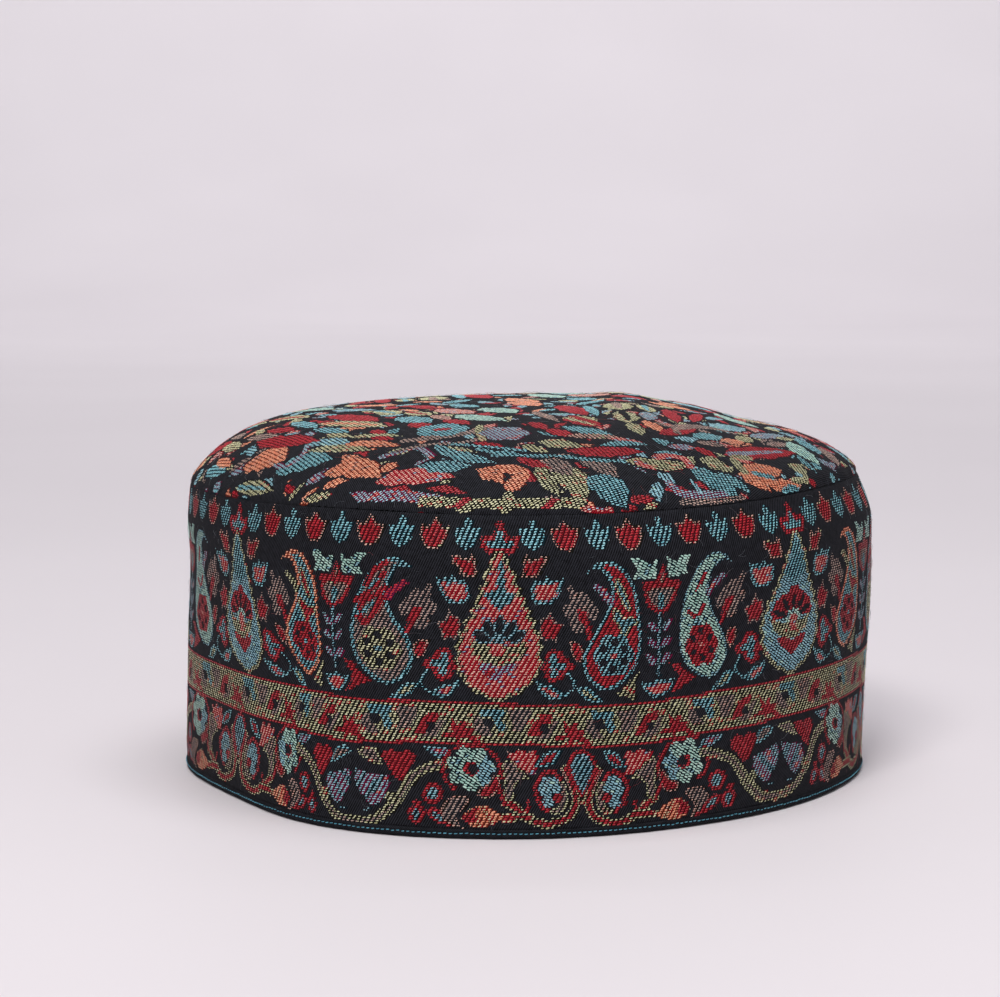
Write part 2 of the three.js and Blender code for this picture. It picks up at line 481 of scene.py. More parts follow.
def boteh_companions(chart, at):
    """Buds, hearts and leaves that stand at both sides of each boteh."""
    for mirror in (1, -1):
        pen = Pen(chart, at, 0, mirror)
        pen.fill([(5.3, 65.4), (5.6, 67.6), (6, 70), (6.9, 71), (7.6, 69.5), (9, 69.9), (10.7, 70.7),
                  (12, 70.2), (11.5, 68.3), (10.2, 67.4), (9.6, 65.5), (7.6, 65.1)], "red", (0.7, "cream"))
        pen.fill([(7.5, 60.2), (7.7, 62.9), (8.7, 64.5), (10.3, 64.2), (11.6, 65.6), (12.5, 64.2),
                  (13.4, 65), (14.6, 64.5), (15.9, 65.2), (15.2, 62.4), (14.2, 60.1), (12.6, 58.5),
                  (10.6, 58.3), (8.6, 58.8)], "rose", (1.0, "turquoise"))
        pen.fill([(12.5, 57.3), (11.3, 55.5), (9.9, 55), (9.6, 52.6), (10, 50.7), (11.2, 49.3),
                  (12.4, 50.1), (14, 49.1), (14.2, 51), (15.7, 53.7), (14.4, 54.1), (13.3, 54.5)], "red",
                 (0.5, "taupe"))
        pen.fill([(13.2, 47.8), (11.7, 46.8), (11.3, 44.4), (10, 42.6), (11.5, 41.8), (11.6, 40.3),
                  (13.4, 39.1), (15.3, 40.2), (16.3, 42), (18.3, 42.6), (18.5, 44), (16.5, 45.3),
                  (15.3, 46.9)], "red")
        pen.oval(13.4, 44.4, 2.2, 4.4, "turquoise")
        pen.oval(15.4, 43.5, 3, 1.9, "turquoise")
        pen.oval(13.7, 41.7, 2.4, 2.2, "turquoise")
        pen.fill([(9.2, 40), (9.6, 38.2), (11, 36.2), (13.2, 35), (15.4, 35.4), (16.9, 36.4), (15.2, 37.2),
                  (13.2, 38.6), (11.2, 38.8)], "rose", (0.9, "turquoise"))
        pen.line([(16.8, 36.2), (18.8, 38), (18.7, 39.8), (17.2, 41.8)], 0.7, "turquoise")


TULIP = (
    (0.1, 3.9), (-0.9, 2.9), (-0.9, 1.5), (-2.2, 1.4), (-3.4, 1.7), (-3.1, -0.4), (-2.5, -1.9), (-1.1, -3.2),
    (0.1, -3.6), (1.4, -3), (2.7, -1.6), (3.2, 0.2), (3.4, 1.8), (2, 1.3), (1, 1.6), (1, 2.9),
)
ROUND_TULIP = (
    (0, 4), (-0.9, 2.6), (-1.9, 1.5), (-3.8, 2.1), (-3.5, -0.5), (-2.6, -2.5), (-1.2, -3.7), (0.8, -3.9),
    (2.2, -2.9), (3.2, -1), (3.8, 1.9), (1.9, 1.5), (0.9, 2.6),
)
TULIP_HEIGHT = 75.3
TULIPS = 9
TULIP_STEP = REPEAT / (TULIPS + 1)


def tulip_row(chart, at):
    """Small tulips between two finials, turquoise and red in turn."""
    for k in range(1, TULIPS + 1):
        pen = Pen(chart, at + k * TULIP_STEP, TULIP_HEIGHT, reach=6)
        if k % 2:
            pen.fill(TULIP, "turquoise")
        else:
            pen.fill(ROUND_TULIP, "red", (0.55, "cream"))


# The bent botehs that stand in pairs at both sides of a tulip stem, measured from
# the boteh beside them
HOOKED = (
    (21.5, 65.9), (22.5, 67.4), (24.4, 68.7), (26.8, 69.1), (29, 68.6), (31, 67), (33, 64.4), (34.4, 61.4),
    (35.2, 58), (35.8, 54.6), (36.2, 51), (36.2, 47.4), (35.7, 44.4), (34.5, 42), (32.8, 40.3), (30.6, 38.6),
    (27.6, 37.5), (25, 38.1), (22.8, 39.9), (21.2, 42.4), (20.8, 45.4), (21.6, 48.6), (23.1, 51.4),
    (25, 54), (26.6, 57), (27.5, 60), (27.5, 62.6), (26.7, 65), (25.4, 66.5), (23.8, 67.1), (22.4, 66.7),
)
# Their weaves: field, edge and its width, flower, bit in the hook's tip, flower's eye
HOOKED_TONES = (
    ("red", "turquoise", 1.05, "blue", "lavender", "rose"),
    ("mint", "ice", 0.6, "red", "lavender", "rose"),
    ("turquoise", "peach", 1.0, "red", "yellow", "turquoise"),
    ("taupe", "turquoise", 1.1, "yellow", "magenta", "ice"),
)
STEM = 41.5  # from a boteh to the tulip stem beside it
PETAL_HOLES = 6
HOLE_REACH = 3.2
FLOWER_MIDDLE = (28.9, 46.1)


def hooked_boteh(chart, at, mirror, tones):
    """A bent boteh with a round flower; at is the upright boteh that it leans to."""
    pen = Pen(chart, at, 0, mirror, reach=40)
    field, edge, wide, petals, bit, eye = tones
    pen.fill(HOOKED, field, (wide, edge), smooth=True)
    if field == "taupe":
        striped_inside(pen)
    elif field == "mint":
        pen.line([(29.6, 63.8), (30.6, 61.6), (31.6, 60)], 1.3, "red", 0.7)
        pen.line([(28.6, 56), (30.6, 53.4), (33.6, 54.8)], 1.2, "red", 0.9)
        pen.line([(30.4, 52.8), (31.2, 51.2)], 1.2, "turquoise")
    else:
        leafy_inside(pen, "yellow", "turquoise" if field == "red" else "red")
    pen.line([(23.6, 63), (25.4, 61.6), (27.4, 59.4)], 1.6, bit, 2.1)
    x, y = FLOWER_MIDDLE
    pen.flower(x, y, 5.5, PETAL_HOLES, petals, dent=0.16)
    for k in range(PETAL_HOLES):
        turn = math.tau * (k + 0.5) / PETAL_HOLES
        pen.oval(x + HOLE_REACH * math.cos(turn), y + HOLE_REACH * math.sin(turn), 1.9, 1.9, "black")
    pen.oval(x, y, 2, 1.5, eye)


def leafy_inside(pen, rim, core):
    """A long leaf and a forked one up the neck of a bent boteh."""
    pen.fill([(28.7, 64.7), (30.1, 64.3), (31.7, 61), (33.1, 57), (31.5, 57.2), (29.9, 59.8), (28.9, 62)],
             core, (0.6, rim), smooth=True)
    pen.fill([(28, 57), (29.4, 57.4), (30.8, 55.8), (32.6, 55.3), (34.6, 54.8), (35, 53.4), (33, 52.4),
              (31.5, 50.3), (30.5, 50.6), (29.9, 52.8), (28.4, 54.6)], core, (0.6, rim), smooth=True)


def striped_inside(pen):
    """Slanting red stripes and turquoise slits up the neck of a bent boteh."""
    pen.line([(33.2, 61.8), (31.4, 65.4), (28.4, 67.8)], 1.5, "red")
    pen.line([(35.2, 57.4), (31.6, 60.6), (28.6, 65.2)], 1.5, "red")
    pen.line([(34.4, 53.6), (33.4, 57), (29.6, 59.8), (28.4, 61.6)], 1.4, "red")
    pen.line([(33.8, 54), (32.2, 52.1), (30, 54.8), (28.6, 58.8)], 1.5, "red")
    pen.line([(32.2, 61.2), (30.2, 63.6)], 0.9, "turquoise")
    pen.line([(32.6, 54.6), (30.7, 57.2)], 1.2, "turquoise")
    pen.line([(34.9, 55), (33.9, 53.9)], 0.9, "turquoise")


def tulip_stem(chart, at):
    """A red tulip under two pale leaves, on a stem with paired leaflets and a cup."""
    pen = Pen(chart, at, 0)
    for mirror in (1, -1):
        side = Pen(chart, at, 0, mirror)
        side.fill([(1.2, 69.4), (2.9, 67.9), (4.2, 68.1), (6, 69.6), (8.4, 69.5), (7.3, 67.7), (6.8, 66.6),
                   (7.9, 64.3), (4, 64.2), (2, 64.1), (1.6, 66)], "mint")
        for height in (50.9, 46.9, 42.8):
            side.leaf((0.8, height), (3.6, height + 3), 1.7, "lavender")
    pen.fill([(0.2, 67.6), (-0.8, 65.2), (-1.5, 63.5), (-5.5, 63.5), (-5, 61), (-4.6, 58.6), (-3, 56.6),
              (-0.7, 55.2), (0.8, 55.2), (3, 56.8), (4.7, 58.8), (5.2, 61), (5.2, 63.5), (1.6, 63.5),
              (0.9, 65.4)], "red")
    pen.fill([(-3.9, 60.4), (-2, 61.4), (0, 60.9), (2, 61.4), (3.9, 60.4), (2.7, 57.8), (0, 56.2),
              (-2.7, 57.8)], "taupe")
    pen.line([(-4, 60.8), (-2, 61.6), (0, 61.1), (2, 61.6), (4, 60.8)], 0.6, "cream", smooth=False)
    pen.line([(0, 63.2), (0.2, 65)], 0.7, "cream")
    pen.oval(0.1, 58.3, 2.1, 4.4, "turquoise")
    pen.line([(0, 55.2), (0, 40.4)], 1.0, "ice")
    pen.fill([(-4.9, 39.3), (-2.6, 38.6), (0, 39.4), (2.6, 38.6), (4.9, 39.3), (3.8, 36.6), (1.4, 34.8),
              (-1.4, 34.8), (-3.8, 36.6)], "rose", (0.9, "turquoise"))


def leaves_beside_stem(chart, at):
    """A taupe leaf with a red core, a bud and low leaves, between boteh and stem."""
    for mirror in (1, -1):
        pen = Pen(chart, at, 0, mirror)
        pen.fill([(16.4, 62.7), (17.7, 63.5), (18.7, 61.4), (20.5, 61.9), (21.9, 60.6), (23.2, 58.9),
                  (24.7, 57.1), (23.7, 54.4), (22, 55.5), (21.4, 53.9), (20.4, 51.9), (18.4, 51.6),
                  (17, 53.4), (17.4, 55), (15.6, 56), (15.3, 58), (17.1, 59), (16.9, 60.8)], "taupe")
        pen.fill([(19, 57.4), (21.3, 56.9), (22.1, 54), (21, 53.3), (19.4, 55)], "red")
        pen.line([(21.4, 54), (22.6, 50.2)], 1.3, "red")
        pen.fill([(17.1, 49.6), (19.3, 49.4), (20.8, 48), (21, 46), (20, 44.2), (18.6, 45), (17.8, 46.6)],
                 "red", (0.55, "cream"))
        pen.fill([(19.4, 38.2), (21.4, 38.8), (23.6, 37.7), (25.5, 35.8), (26.8, 34.5), (23.6, 34.5),
                  (21.2, 35.7)], "yellow", (0.8, "turquoise"))
    pen = Pen(chart, at, 0, reach=52)
    pen.fill([(29.8, 36.6), (32, 36), (35.2, 34.7), (34.9, 37), (35.2, 39.2), (36.6, 42), (34.6, 41),
              (33, 39.2), (31.4, 37.8)], "yellow")
    pen.fill([(-39.4, 42.9), (-36.8, 42.6), (-34.6, 40.2), (-31.8, 38.2), (-35.4, 36.6), (-39.2, 35.1),
              (-37.4, 37.6), (-36.6, 39.6), (-38, 41.2)], "red")


# The guard band: a pale ground with stairs, leaves and crowns, a row of steps
GUARD_LOW = 23.9
GUARD_HIGH = 33.4
GUARD_LINE = 0.65


def guard_band(chart):
    """The pale ground all round, between two red lines."""
    pen = Pen(chart, 0, 0, reach=EVERYWHERE)
    pen.paint((pen.y > GUARD_LOW) & (pen.y < GUARD_HIGH), "yellow")
    for low in (GUARD_LOW - GUARD_LINE, GUARD_HIGH):
        pen.paint((pen.y > low) & (pen.y < low + GUARD_LINE), "red")


def guard_step(chart, at):
    """One repeat of the guard band: taupe patches, a turquoise stair, red leaves."""
    pen = Pen(chart, at, 0, reach=26)
    taupe_parts = (
        [(3.4, 32.2), (9.6, 32.4), (9, 30.2), (7.2, 27), (4.4, 26.8), (5, 29)],
        [(-4.6, 30.6), (-2.6, 30.2), (-1, 27.4), (0.2, 26), (-2.6, 25.6), (-4.8, 27.8)],
        [(13.6, 27.4), (14.9, 29.8), (16.2, 29.6), (15.2, 27.2), (14.2, 25.4), (10.6, 24.9), (11, 26.2)],
    )
    for part in taupe_parts:
        pen.fill(part, "taupe")
    pen.fill([(-3.6, 32.5), (2.8, 32.6), (2.8, 31), (1.8, 30.6), (3.2, 28.2), (2.4, 26.8), (1.3, 27.4),
              (0, 30.4), (-2.8, 30.6)], "turquoise")
    pen.fill([(-2.6, 30.3), (-0.2, 30.2), (0.6, 28.6), (-0.8, 27.8), (-2.2, 28.2)], "black")
    pen.fill([(8.4, 25.9), (9, 27.6), (10.6, 29.8), (12.2, 31.2), (14.8, 31.4), (14.3, 29), (12, 28.9),
              (11.6, 26.1)], "red")
    pen.fill([(11.6, 28.9), (13.8, 28.8), (13.6, 26.8), (11.6, 26.6)], "black")
    pen.fill([(17.6, 30.3), (19, 28.8), (19.6, 27.9), (20, 29.4), (21.4, 29.7), (21, 27.6), (23.4, 27.5),
              (22.4, 26), (20.8, 26.2), (19.4, 25.9), (18, 27)], "red")
    pen.line([(16, 25.7), (19.4, 26), (22.6, 25.3), (24.6, 23.8)], 1.1, "red")
    pen.line([(19.4, 26), (19.4, 24)], 0.8, "red")


# The lower border, drawn from the drop that it is mirrored about

def border_half(chart, at, mirror):
    """Scroll, medallion, flowers and leaves at one side of the drop."""
    pen = Pen(chart, at, 0, mirror, reach=38)
    border_scroll(pen)
    border_medallion(pen)
    pen.fill([(13.6, 15), (16, 14.6), (17.6, 12.8), (17.8, 9.8), (19.8, 8.4), (20.6, 11), (20.2, 14),
              (20.6, 18.6), (19.6, 19.9), (17.8, 19.4), (16, 17.6)], "taupe", (0.55, "yellow"))
    pen.fill([(11.9, 16.2), (13.6, 15.8), (16, 17.8), (18.4, 19.8), (19, 22), (17.4, 21.2), (16, 22.6),
              (14.2, 21.4), (12.6, 22.5), (11.7, 20.6), (12.2, 18.4)], "rose")
    pen.fill([(5.6, 22.4), (7.3, 22.5), (9.6, 21.7), (11.3, 19.6), (12.3, 17.9), (9.7, 17.8), (7.3, 19.2),
              (6.2, 20.8)], "red", (0.85, "turquoise"))
    flower(pen)
    pen.fill([(21.1, 16.2), (22.4, 15.9), (24, 13.6), (26.6, 12.2), (26.9, 10.6), (25, 9.7), (22.9, 10.4),
              (21.2, 12.6)], "red", (0.55, "cream"))
    pen.line([(21.6, 12.6), (20.4, 8.6)], 0.9, "red")
    pen.fill([(28.6, 9.4), (31.4, 10.4), (34, 9.4), (35.6, 6.2), (33.6, 3.4), (29.6, 2.2), (31.6, 5)],
             "taupe", (0.45, "cream"), smooth=True)
    pen.fill([(20, 5), (22.4, 6.6), (25.6, 8.2), (28.6, 7.2), (30.6, 4.6), (28.4, 2.9), (25, 2.5),
              (22.4, 3.6)], "peach", stripes=(-0.6, 3.4, 0.3, "gold"))
    pen.fill([(25.8, 7.6), (28.6, 6.9), (30.4, 4.7), (28.6, 3.4), (26.4, 4.2), (27.4, 5.8)], "red")


def border_scroll(pen):
    """The red line between two pale ones that curls round the medallion."""
    scroll = [(4.2, 17.6), (2.9, 14.8), (2, 11.6), (1.9, 8.6), (3.2, 5.8), (6, 4.3), (9.6, 3.6), (13, 4.4),
              (15.8, 6), (17.6, 7.6), (20, 9)]
    pen.line(scroll, 2.5, "yellow")
    pen.line(scroll, 1.15, "red")
    pen.line([(13.6, 5.2), (16.4, 5.3), (20, 5)], 2.3, "yellow")
    pen.line([(13.6, 5.2), (16.4, 5.3), (20, 5)], 1.1, "red")
    pen.line([(5.6, 17.6), (4.4, 15.6), (3.2, 12.6)], 0.8, "cream")
    pen.line([(14.3, 9.2), (14.9, 7)], 0.8, "red")


def border_medallion(pen):
    """A light blue clover in a red ring, with a pale leaf at its inner side."""
    pen.fill([(4.6, 14.6), (6.4, 15), (7, 12.6), (6, 10.6), (6.6, 8), (9.4, 6.6), (7, 5.7), (4.6, 6.8),
              (3.7, 10), (3.9, 12.8)], "taupe", (0.55, "yellow"))
    pen.line([(6, 15.3), (7.4, 16.7), (9.2, 16.9), (11, 15.4), (12.4, 13), (12, 10.4), (10.9, 8.2),
              (9.4, 6.9)], 1.15, "red")
    pen.oval(8.6, 14.3, 4.6, 3.2, "steel")
    pen.oval(10.2, 12.2, 3, 3, "steel")
    pen.oval(7.2, 12.7, 3, 2.4, "steel")
    pen.oval(9.1, 11, 1.9, 4.6, "steel")
    pen.oval(9.1, 8.9, 3.2, 2.6, "steel")
    pen.oval(6.7, 10.4, 2.5, 2.5, "red")


FLOWER_PLACE = (28, 17.3)


def flower(pen):
    """A pale flower with a dark eye, half in mint and half in light blue."""
    x, y = FLOWER_PLACE
    pen.line([(x - 7, y - 2.4), (x - 6.8, y + 2), (x - 4, y + 5.2), (x, y + 5.9), (x + 3.6, y + 5.2)], 0.9,
             "red")
    pen.line([(x + 5, y + 4.2), (x + 6.7, y + 1), (x + 6.4, y - 2.6), (x + 4.4, y - 4.9)], 0.9, "red")
    pen.flower(x, y, 6, 7, "mint", dent=0.26, turn=20)
    blue = [(x - 0.4, y), (x - 3, y - 6.2), (x - 6.2, y - 3), (x - 6.4, y + 1.6), (x - 4.6, y + 4.6),
            (x - 2, y + 1)]
    pen.fill(blue, "steel", over="mint")
    pen.oval(x, y, 3.9, 3.6, "red")
    pen.oval(x - 0.5, y + 0.1, 2.5, 2.6, "black")


def border_drop(chart, at):
    """The red drop with a light blue heart that the border is mirrored about."""
    pen = Pen(chart, at, 0)
    pen.fill(mirrored([(0, 22.9), (1.8, 22.4), (3.1, 21), (4, 18.6), (3.6, 16.6), (2.6, 14.4), (1.4, 12.4),
                       (0.5, 10.6)]), "red")
    pen.fill(mirrored([(0, 22), (1.3, 21.6), (2.3, 20.4), (3.1, 18.6), (2.7, 16.8), (1.9, 15), (1, 13),
                       (0.2, 11.4)]), "ice")
    pen.fill([(-1.2, 10.8), (0, 10), (1.2, 10.8), (0.7, 8.6), (-0.7, 8.6)], "yellow")


def border_wings(chart, at):
    """Lavender wings over a thick arc, with hearts, leaves and sprigs at both sides."""
    for mirror in (1, -1):
        pen = Pen(chart, at, 0, mirror)
        arc = [(-0.4, 3.2), (4.9, 3.9), (8.2, 6.6), (10.4, 9), (12.2, 12.4), (14.4, 15.4), (18.4, 17.6),
               (22.6, 18.8)]
        pen.line(arc, 2.6, "yellow")
        pen.line(arc, 0.8, "taupe")
        pen.fill([(6.6, 13), (7.4, 11.4), (9.6, 11), (11.2, 9.4), (9.4, 7.6), (7.6, 9)], "yellow")
        pen.fill([(0.5, 14.8), (0.9, 17), (1.8, 16.6), (4.6, 15.7), (8.1, 15.2), (8.6, 12.4), (7.4, 9.6),
                  (5.3, 7.5), (3.9, 8), (2.3, 10.4), (1, 12.6)], "lavender",
                 stripes=(-0.7, 4.6, 0.4, "ice"))
        pen.fill([(6.9, 21.3), (9, 21.7), (10.6, 20.9), (12.2, 21.8), (14.3, 21), (14.8, 19), (12.8, 16.6),
                  (11, 13.8), (9.2, 15.4), (8.2, 17.6), (6.9, 19.6)], "red")
        leaf_edge = "yellow" if mirror > 0 else "turquoise"
        pen.fill([(0.4, 21.4), (2.6, 22.4), (5.4, 22), (6.6, 20), (7.2, 17.9), (5.8, 17.9), (3.8, 19),
                  (1.8, 20)], "taupe", (0.7, leaf_edge))
        pen.fill([(16, 22.9), (20.4, 22.9), (23.4, 22.2), (23.2, 20.4), (20.2, 19.9), (18, 21.1)],
                 "lavender", (0.7, "ice"))
        pen.oval(18.5, 10.8, 4.9, 5.4, "ice", edge="red")
        pen.oval(14.8, 5.5, 3.9, 4.8, "ice", edge="red")
        pen.oval(14.7, 8.4, 2, 1.5, "red")
        pen.fill([(17, 6.6), (18.8, 7.6), (20.6, 6.4), (22.4, 4.4), (23.2, 3), (20.6, 3), (18.2, 4.4)],
                 "ice", (0.8, "red"))
        pen.line([(22.4, 3), (24.2, 2.9)], 0.7, "red")
        pen.line([(2.6, 6.4), (3.8, 6.5)], 0.6, "ice")


# How the soft cloth, eased round the band, drags its pattern. Each soft drag is its
# middle along and up, its reach to the left, to the right and up or down, and how far
# it goes right and up, in mm.
DRAGS = (
    (-70, 28, 70, 18, 15, 8, 1),
    (-70, 6, 70, 19, 13, 4, 0.5),
    (-98, 60, 60, 14, 22, 3.6, 1),
    (-70, 84, 60, 24, 12, 2.2, 0.8),
    (-56, 39, 10, 10, 9, 4.4, 0.5),
    (-38, 52, 14, 14, 13, -3, 0.5),
    (-40, 15, 14, 12, 16, -2.6, -1.2),
    (-12, 82, 26, 26, 9, 2.2, 0.5),
    (2, 8, 22, 22, 14, 1.5, 0.4),
    (62, 52, 18, 18, 14, -3.8, 0.5),
    (92, 10, 24, 60, 14, 7, 1),
    (32, 26, 16, 16, 34, -0.4, -1.2),
    (94, 44, 24, 60, 24, 0.3, 0.8),
)


def dragged(s, v):
    """How far the pattern lies to the right of its regular place, and above it."""
    right = np.zeros(s.shape)
    up = np.zeros(s.shape)
    for at, height, reach_left, reach_right, rise, to_right, to_up in DRAGS:
        reach = np.where(s < at, reach_left, reach_right)
        near = bell(s - at, reach) * bell(v - height, rise)
        right += to_right * near
        up += to_up * near
    return right, up


BORDER_START = 21.3  # from the middle boteh to the first drop of the border
GUARD_START = -1
# Counted from the middle, enough of each to pass the back join at both sides
BOTEHS = range(-4, 5)
GUARD_STEPS = range(-11, 12)
BORDER_DROPS = range(-3, 4)


def draw_band(chart):
    """The whole pattern of the band, from its middle far enough to both sides."""
    true_place = chart.x, chart.y
    right, up = dragged(*true_place)
    chart.x = true_place[0] - right
    chart.y = true_place[1] - up
    guard_band(chart)
    for k in BOTEHS:
        at = k * REPEAT
        tulip_row(chart, at)
        leaves_beside_stem(chart, at)
        tulip_stem(chart, at + STEM)
        rose = k % 2 == 0
        # The rows of HOOKED_TONES to the right and to the left of this boteh
        right, left = (0, 3) if rose else (2, 1)
        hooked_boteh(chart, at, 1, HOOKED_TONES[right])
        hooked_boteh(chart, at, -1, HOOKED_TONES[left])
        boteh_companions(chart, at)
        boteh(chart, at, rose)
    for k in GUARD_STEPS:
        guard_step(chart, GUARD_START + k * GUARD_REPEAT)
    for k in BORDER_DROPS:
        at = BORDER_START + k * BORDER_REPEAT
        border_wings(chart, at - BORDER_REPEAT / 2)
        for mirror in (1, -1):
            border_half(chart, at, mirror)
        border_drop(chart, at)
    chart.x, chart.y = true_place


# The crown's leaves: x and y of one end and of the other, width and weave, then how far
# it bends and the weave of its core where it has them. x is to the right, y to the back.
CROWN_LEAVES = (
    (-76, -43, -63, -54, 11, "peach", 2), (-66, -58, -49, -63.6, 8.6, "turquoise", 1.5),
    (-79, -50, -66.5, -65, 4.4, "yellow", 0, "turquoise"), (-51.6, -69.4, -36, -78.6, 8, "peach", 3),
    (-46.5, -63, -37, -78, 5.4, "peach"), (-36, -76.5, -32, -72.6, 3.6, "peach"),
    (-57, -75.6, -49, -78.4, 2.8, "yellow"), (-63, -66, -59.6, -71.4, 2.2, "red"),
    (-62.6, -72, -56.6, -69.2, 1.8, "yellow"), (-38, -79.6, -17.4, -82.8, 6.6, "rose", 1),
    (-24.6, -85.8, -15, -89.4, 2.4, "red", 0.6), (-27, -76.2, -13.2, -78.4, 5.6, "turquoise", -0.8),
    (-23, -65.4, -7, -78, 5.2, "blue", -2), (-19.6, -67.6, -12, -72, 1.8, "yellow"),
    (-57.6, -49, -44.4, -56.6, 5.4, "steel", 1.6), (-56.6, -53.8, -38.6, -64, 4.6, "yellow", 1),
    (-46.6, -55.8, -31.4, -64.2, 4.4, "peach", 1), (-46, -50.4, -31, -56.4, 3.6, "yellow", 0.8),
    (-39.4, -53.6, -33, -58.2, 3.2, "red"), (-52, -44, -44.6, -50.2, 3.8, "yellow"),
    (-72.4, -29, -53, -49, 8, "red", -1.4), (-69.6, -20, -61.6, -31.4, 4.6, "red"),
    (-75.6, -20, -66, -32.4, 4.2, "taupe"), (-88, -23, -82, -37, 5, "turquoise"),
    (-84.4, -23, -80.4, -36.2, 3.2, "peach"), (-82.4, -12, -77.6, -26.6, 4.6, "yellow"),
    (-62.8, -18, -55.2, -34.4, 4.6, "turquoise"), (-56.4, -35, -45.4, -46, 4.6, "blue"),
    (-55.4, -29, -34.8, -44.6, 7, "yellow", 0.8, "peach"), (-53, -17, -38, -36, 8, "red"),
    (-40, -14, -33.4, -24, 7.4, "yellow", 0, "turquoise"),
    (-31.6, -20, -24.4, -30, 6.6, "yellow", 0, "red"), (-33.4, -31, -23.6, -43.4, 8.4, "blue"),
    (-23.6, -15, -13, -29.6, 9, "rose"), (-24, -29.6, -19, -41.2, 4.6, "cream"),
    (-29.4, -42.4, -24, -50, 5.6, "red"), (-20.6, -40, -14, -48.6, 4.8, "red"),
    (-11, -15, -2, -30.6, 8.6, "mint"), (-17.6, -31, -4, -45, 8, "mint", -1.4),
    (-13, -65.6, -5, -69.4, 3, "red"), (-39.4, -47, -35.6, -52, 3.4, "red"),
    (2.6, -79, 8.6, -91, 4.2, "yellow", -0.6), (4.4, -76.2, 15, -93.4, 8, "yellow", 2),
    (3.6, -76.6, 11.6, -83, 6.4, "taupe", 1), (-2.4, -75.6, 6, -80.4, 3.4, "red"),
    (15.2, -83, 26, -91.6, 9.4, "turquoise", 1.4), (26.4, -89.2, 33.4, -86.6, 2.6, "red"),
    (30.6, -90.8, 34.4, -87.8, 2.2, "yellow"), (13.4, -75.4, 23.6, -82, 6, "taupe", 1.4),
    (10, -71, 30.4, -67.4, 6, "red", -0.6), (3, -65.4, 15, -68, 5.4, "yellow", 0.6),
    (5.4, -69.4, 10, -62.6, 4.6, "yellow"), (-1, -68, 6, -72.4, 4, "yellow"),
    (24.6, -74, 43.4, -68.6, 5.6, "yellow", -1.4), (27, -73.4, 33, -75.6, 2.6, "rose"),
    (33, -66.8, 41, -63.6, 2.6, "turquoise"), (42.2, -70, 57, -76, 7.4, "turquoise", -0.6),
    (50, -69, 60, -72.6, 3.8, "turquoise"), (56.6, -61, 66, -67.6, 8, "peach", -1.6),
    (57, -64, 68.6, -55, 7.6, "peach"), (62, -66, 75.4, -56.6, 5, "peach", -1.4),
    (69.4, -65, 74.8, -58.4, 3, "turquoise"), (71, -58.6, 75.6, -54, 2.4, "red"),
    (52, -57.4, 73.6, -36, 8, "red", 0.6, "lavender"), (73.4, -38.6, 79.8, -45.6, 2.8, "blue", -0.8),
    (71.6, -26, 80.6, -39, 8, "mint", -1.6), (74, -17, 81, -28, 6.4, "turquoise"),
    (81, -17, 87, -29, 6, "taupe"), (44, -57, 50, -60.6, 3.8, "red"), (37, -61, 44.4, -57, 3.8, "lavender"),
    (1.6, -46, 5.4, -55, 4, "red"), (5.4, -54, 12.6, -60.6, 5.4, "red"),
    (9.4, -50.6, 22.6, -58.4, 5.8, "blue"), (10, -60, 25.6, -60.4, 4.2, "cream", 1),
    (21, -60.8, 31, -62.6, 2.8, "rose"), (19, -66, 32, -62.6, 3.2, "turquoise", 0.6),
    (27.4, -46, 30.4, -56.6, 4.4, "yellow"), (31.6, -41, 35.6, -50.6, 4.8, "peach"),
    (35, -52.6, 45.6, -39.4, 5, "red"), (44, -49, 52.6, -41, 5.6, "turquoise"),
    (51.6, -46.6, 58.6, -39.4, 4.2, "peach"), (57, -40, 60.4, -32, 5, "yellow"),
    (39.6, -45.6, 56, -31.4, 4, "taupe", 3), (44.6, -53, 52.6, -49.6, 3.4, "taupe"),
    (9.4, -14, 16.6, -36, 7.6, "red"), (16.6, -16, 19.4, -37.6, 3.4, "turquoise"),
    (12, -36, 19, -46, 6, "yellow", 0, "red"), (10, -39, 20, -50.6, 6.6, "red", 0, "yellow"),
    (24.6, -14, 26, -30, 8.4, "yellow", 0, "taupe"), (25.4, -31.6, 26.6, -46.6, 7, "yellow", 1, "black"),
    (32.4, -15, 33.6, -27, 5.6, "yellow", 0, "turquoise"), (33.4, -28, 32.6, -40, 5.2, "lavender"),
    (38.6, -14, 40.6, -36, 4.8, "red"), (47.6, -12, 45, -31, 3.6, "red"), (49.6, -32, 60, -19, 7, "steel"),
    (60.6, -31, 70.6, -18, 5.6, "lavender"), (65, -37, 70.6, -29, 4.4, "taupe"),
    (68, -26, 73.4, -20, 3.4, "yellow"), (2, -28, 9, -46, 3.6, "taupe"), (-4, 2, 4, -14, 7.6, "peach", 1),
    (22, -2, 14, -12, 5, "blue"), (-20, -2, -12, -12, 5.6, "turquoise"), (-34, -2, -24, -10, 6, "red", 1),
    (-52, -4, -40, -12, 6, "steel"), (-70, -2, -58, -14, 6.4, "yellow", 1, "red"),
    (-88, -4, -80, -14, 5.4, "red"), (34, -2, 46, -8, 5.6, "peach", 1), (52, 0, 64, -12, 7, "mint", -1),
    (70, -2, 80, -12, 6, "red", 1, "cream"), (84, -4, 92, -12, 4, "turquoise"),
)
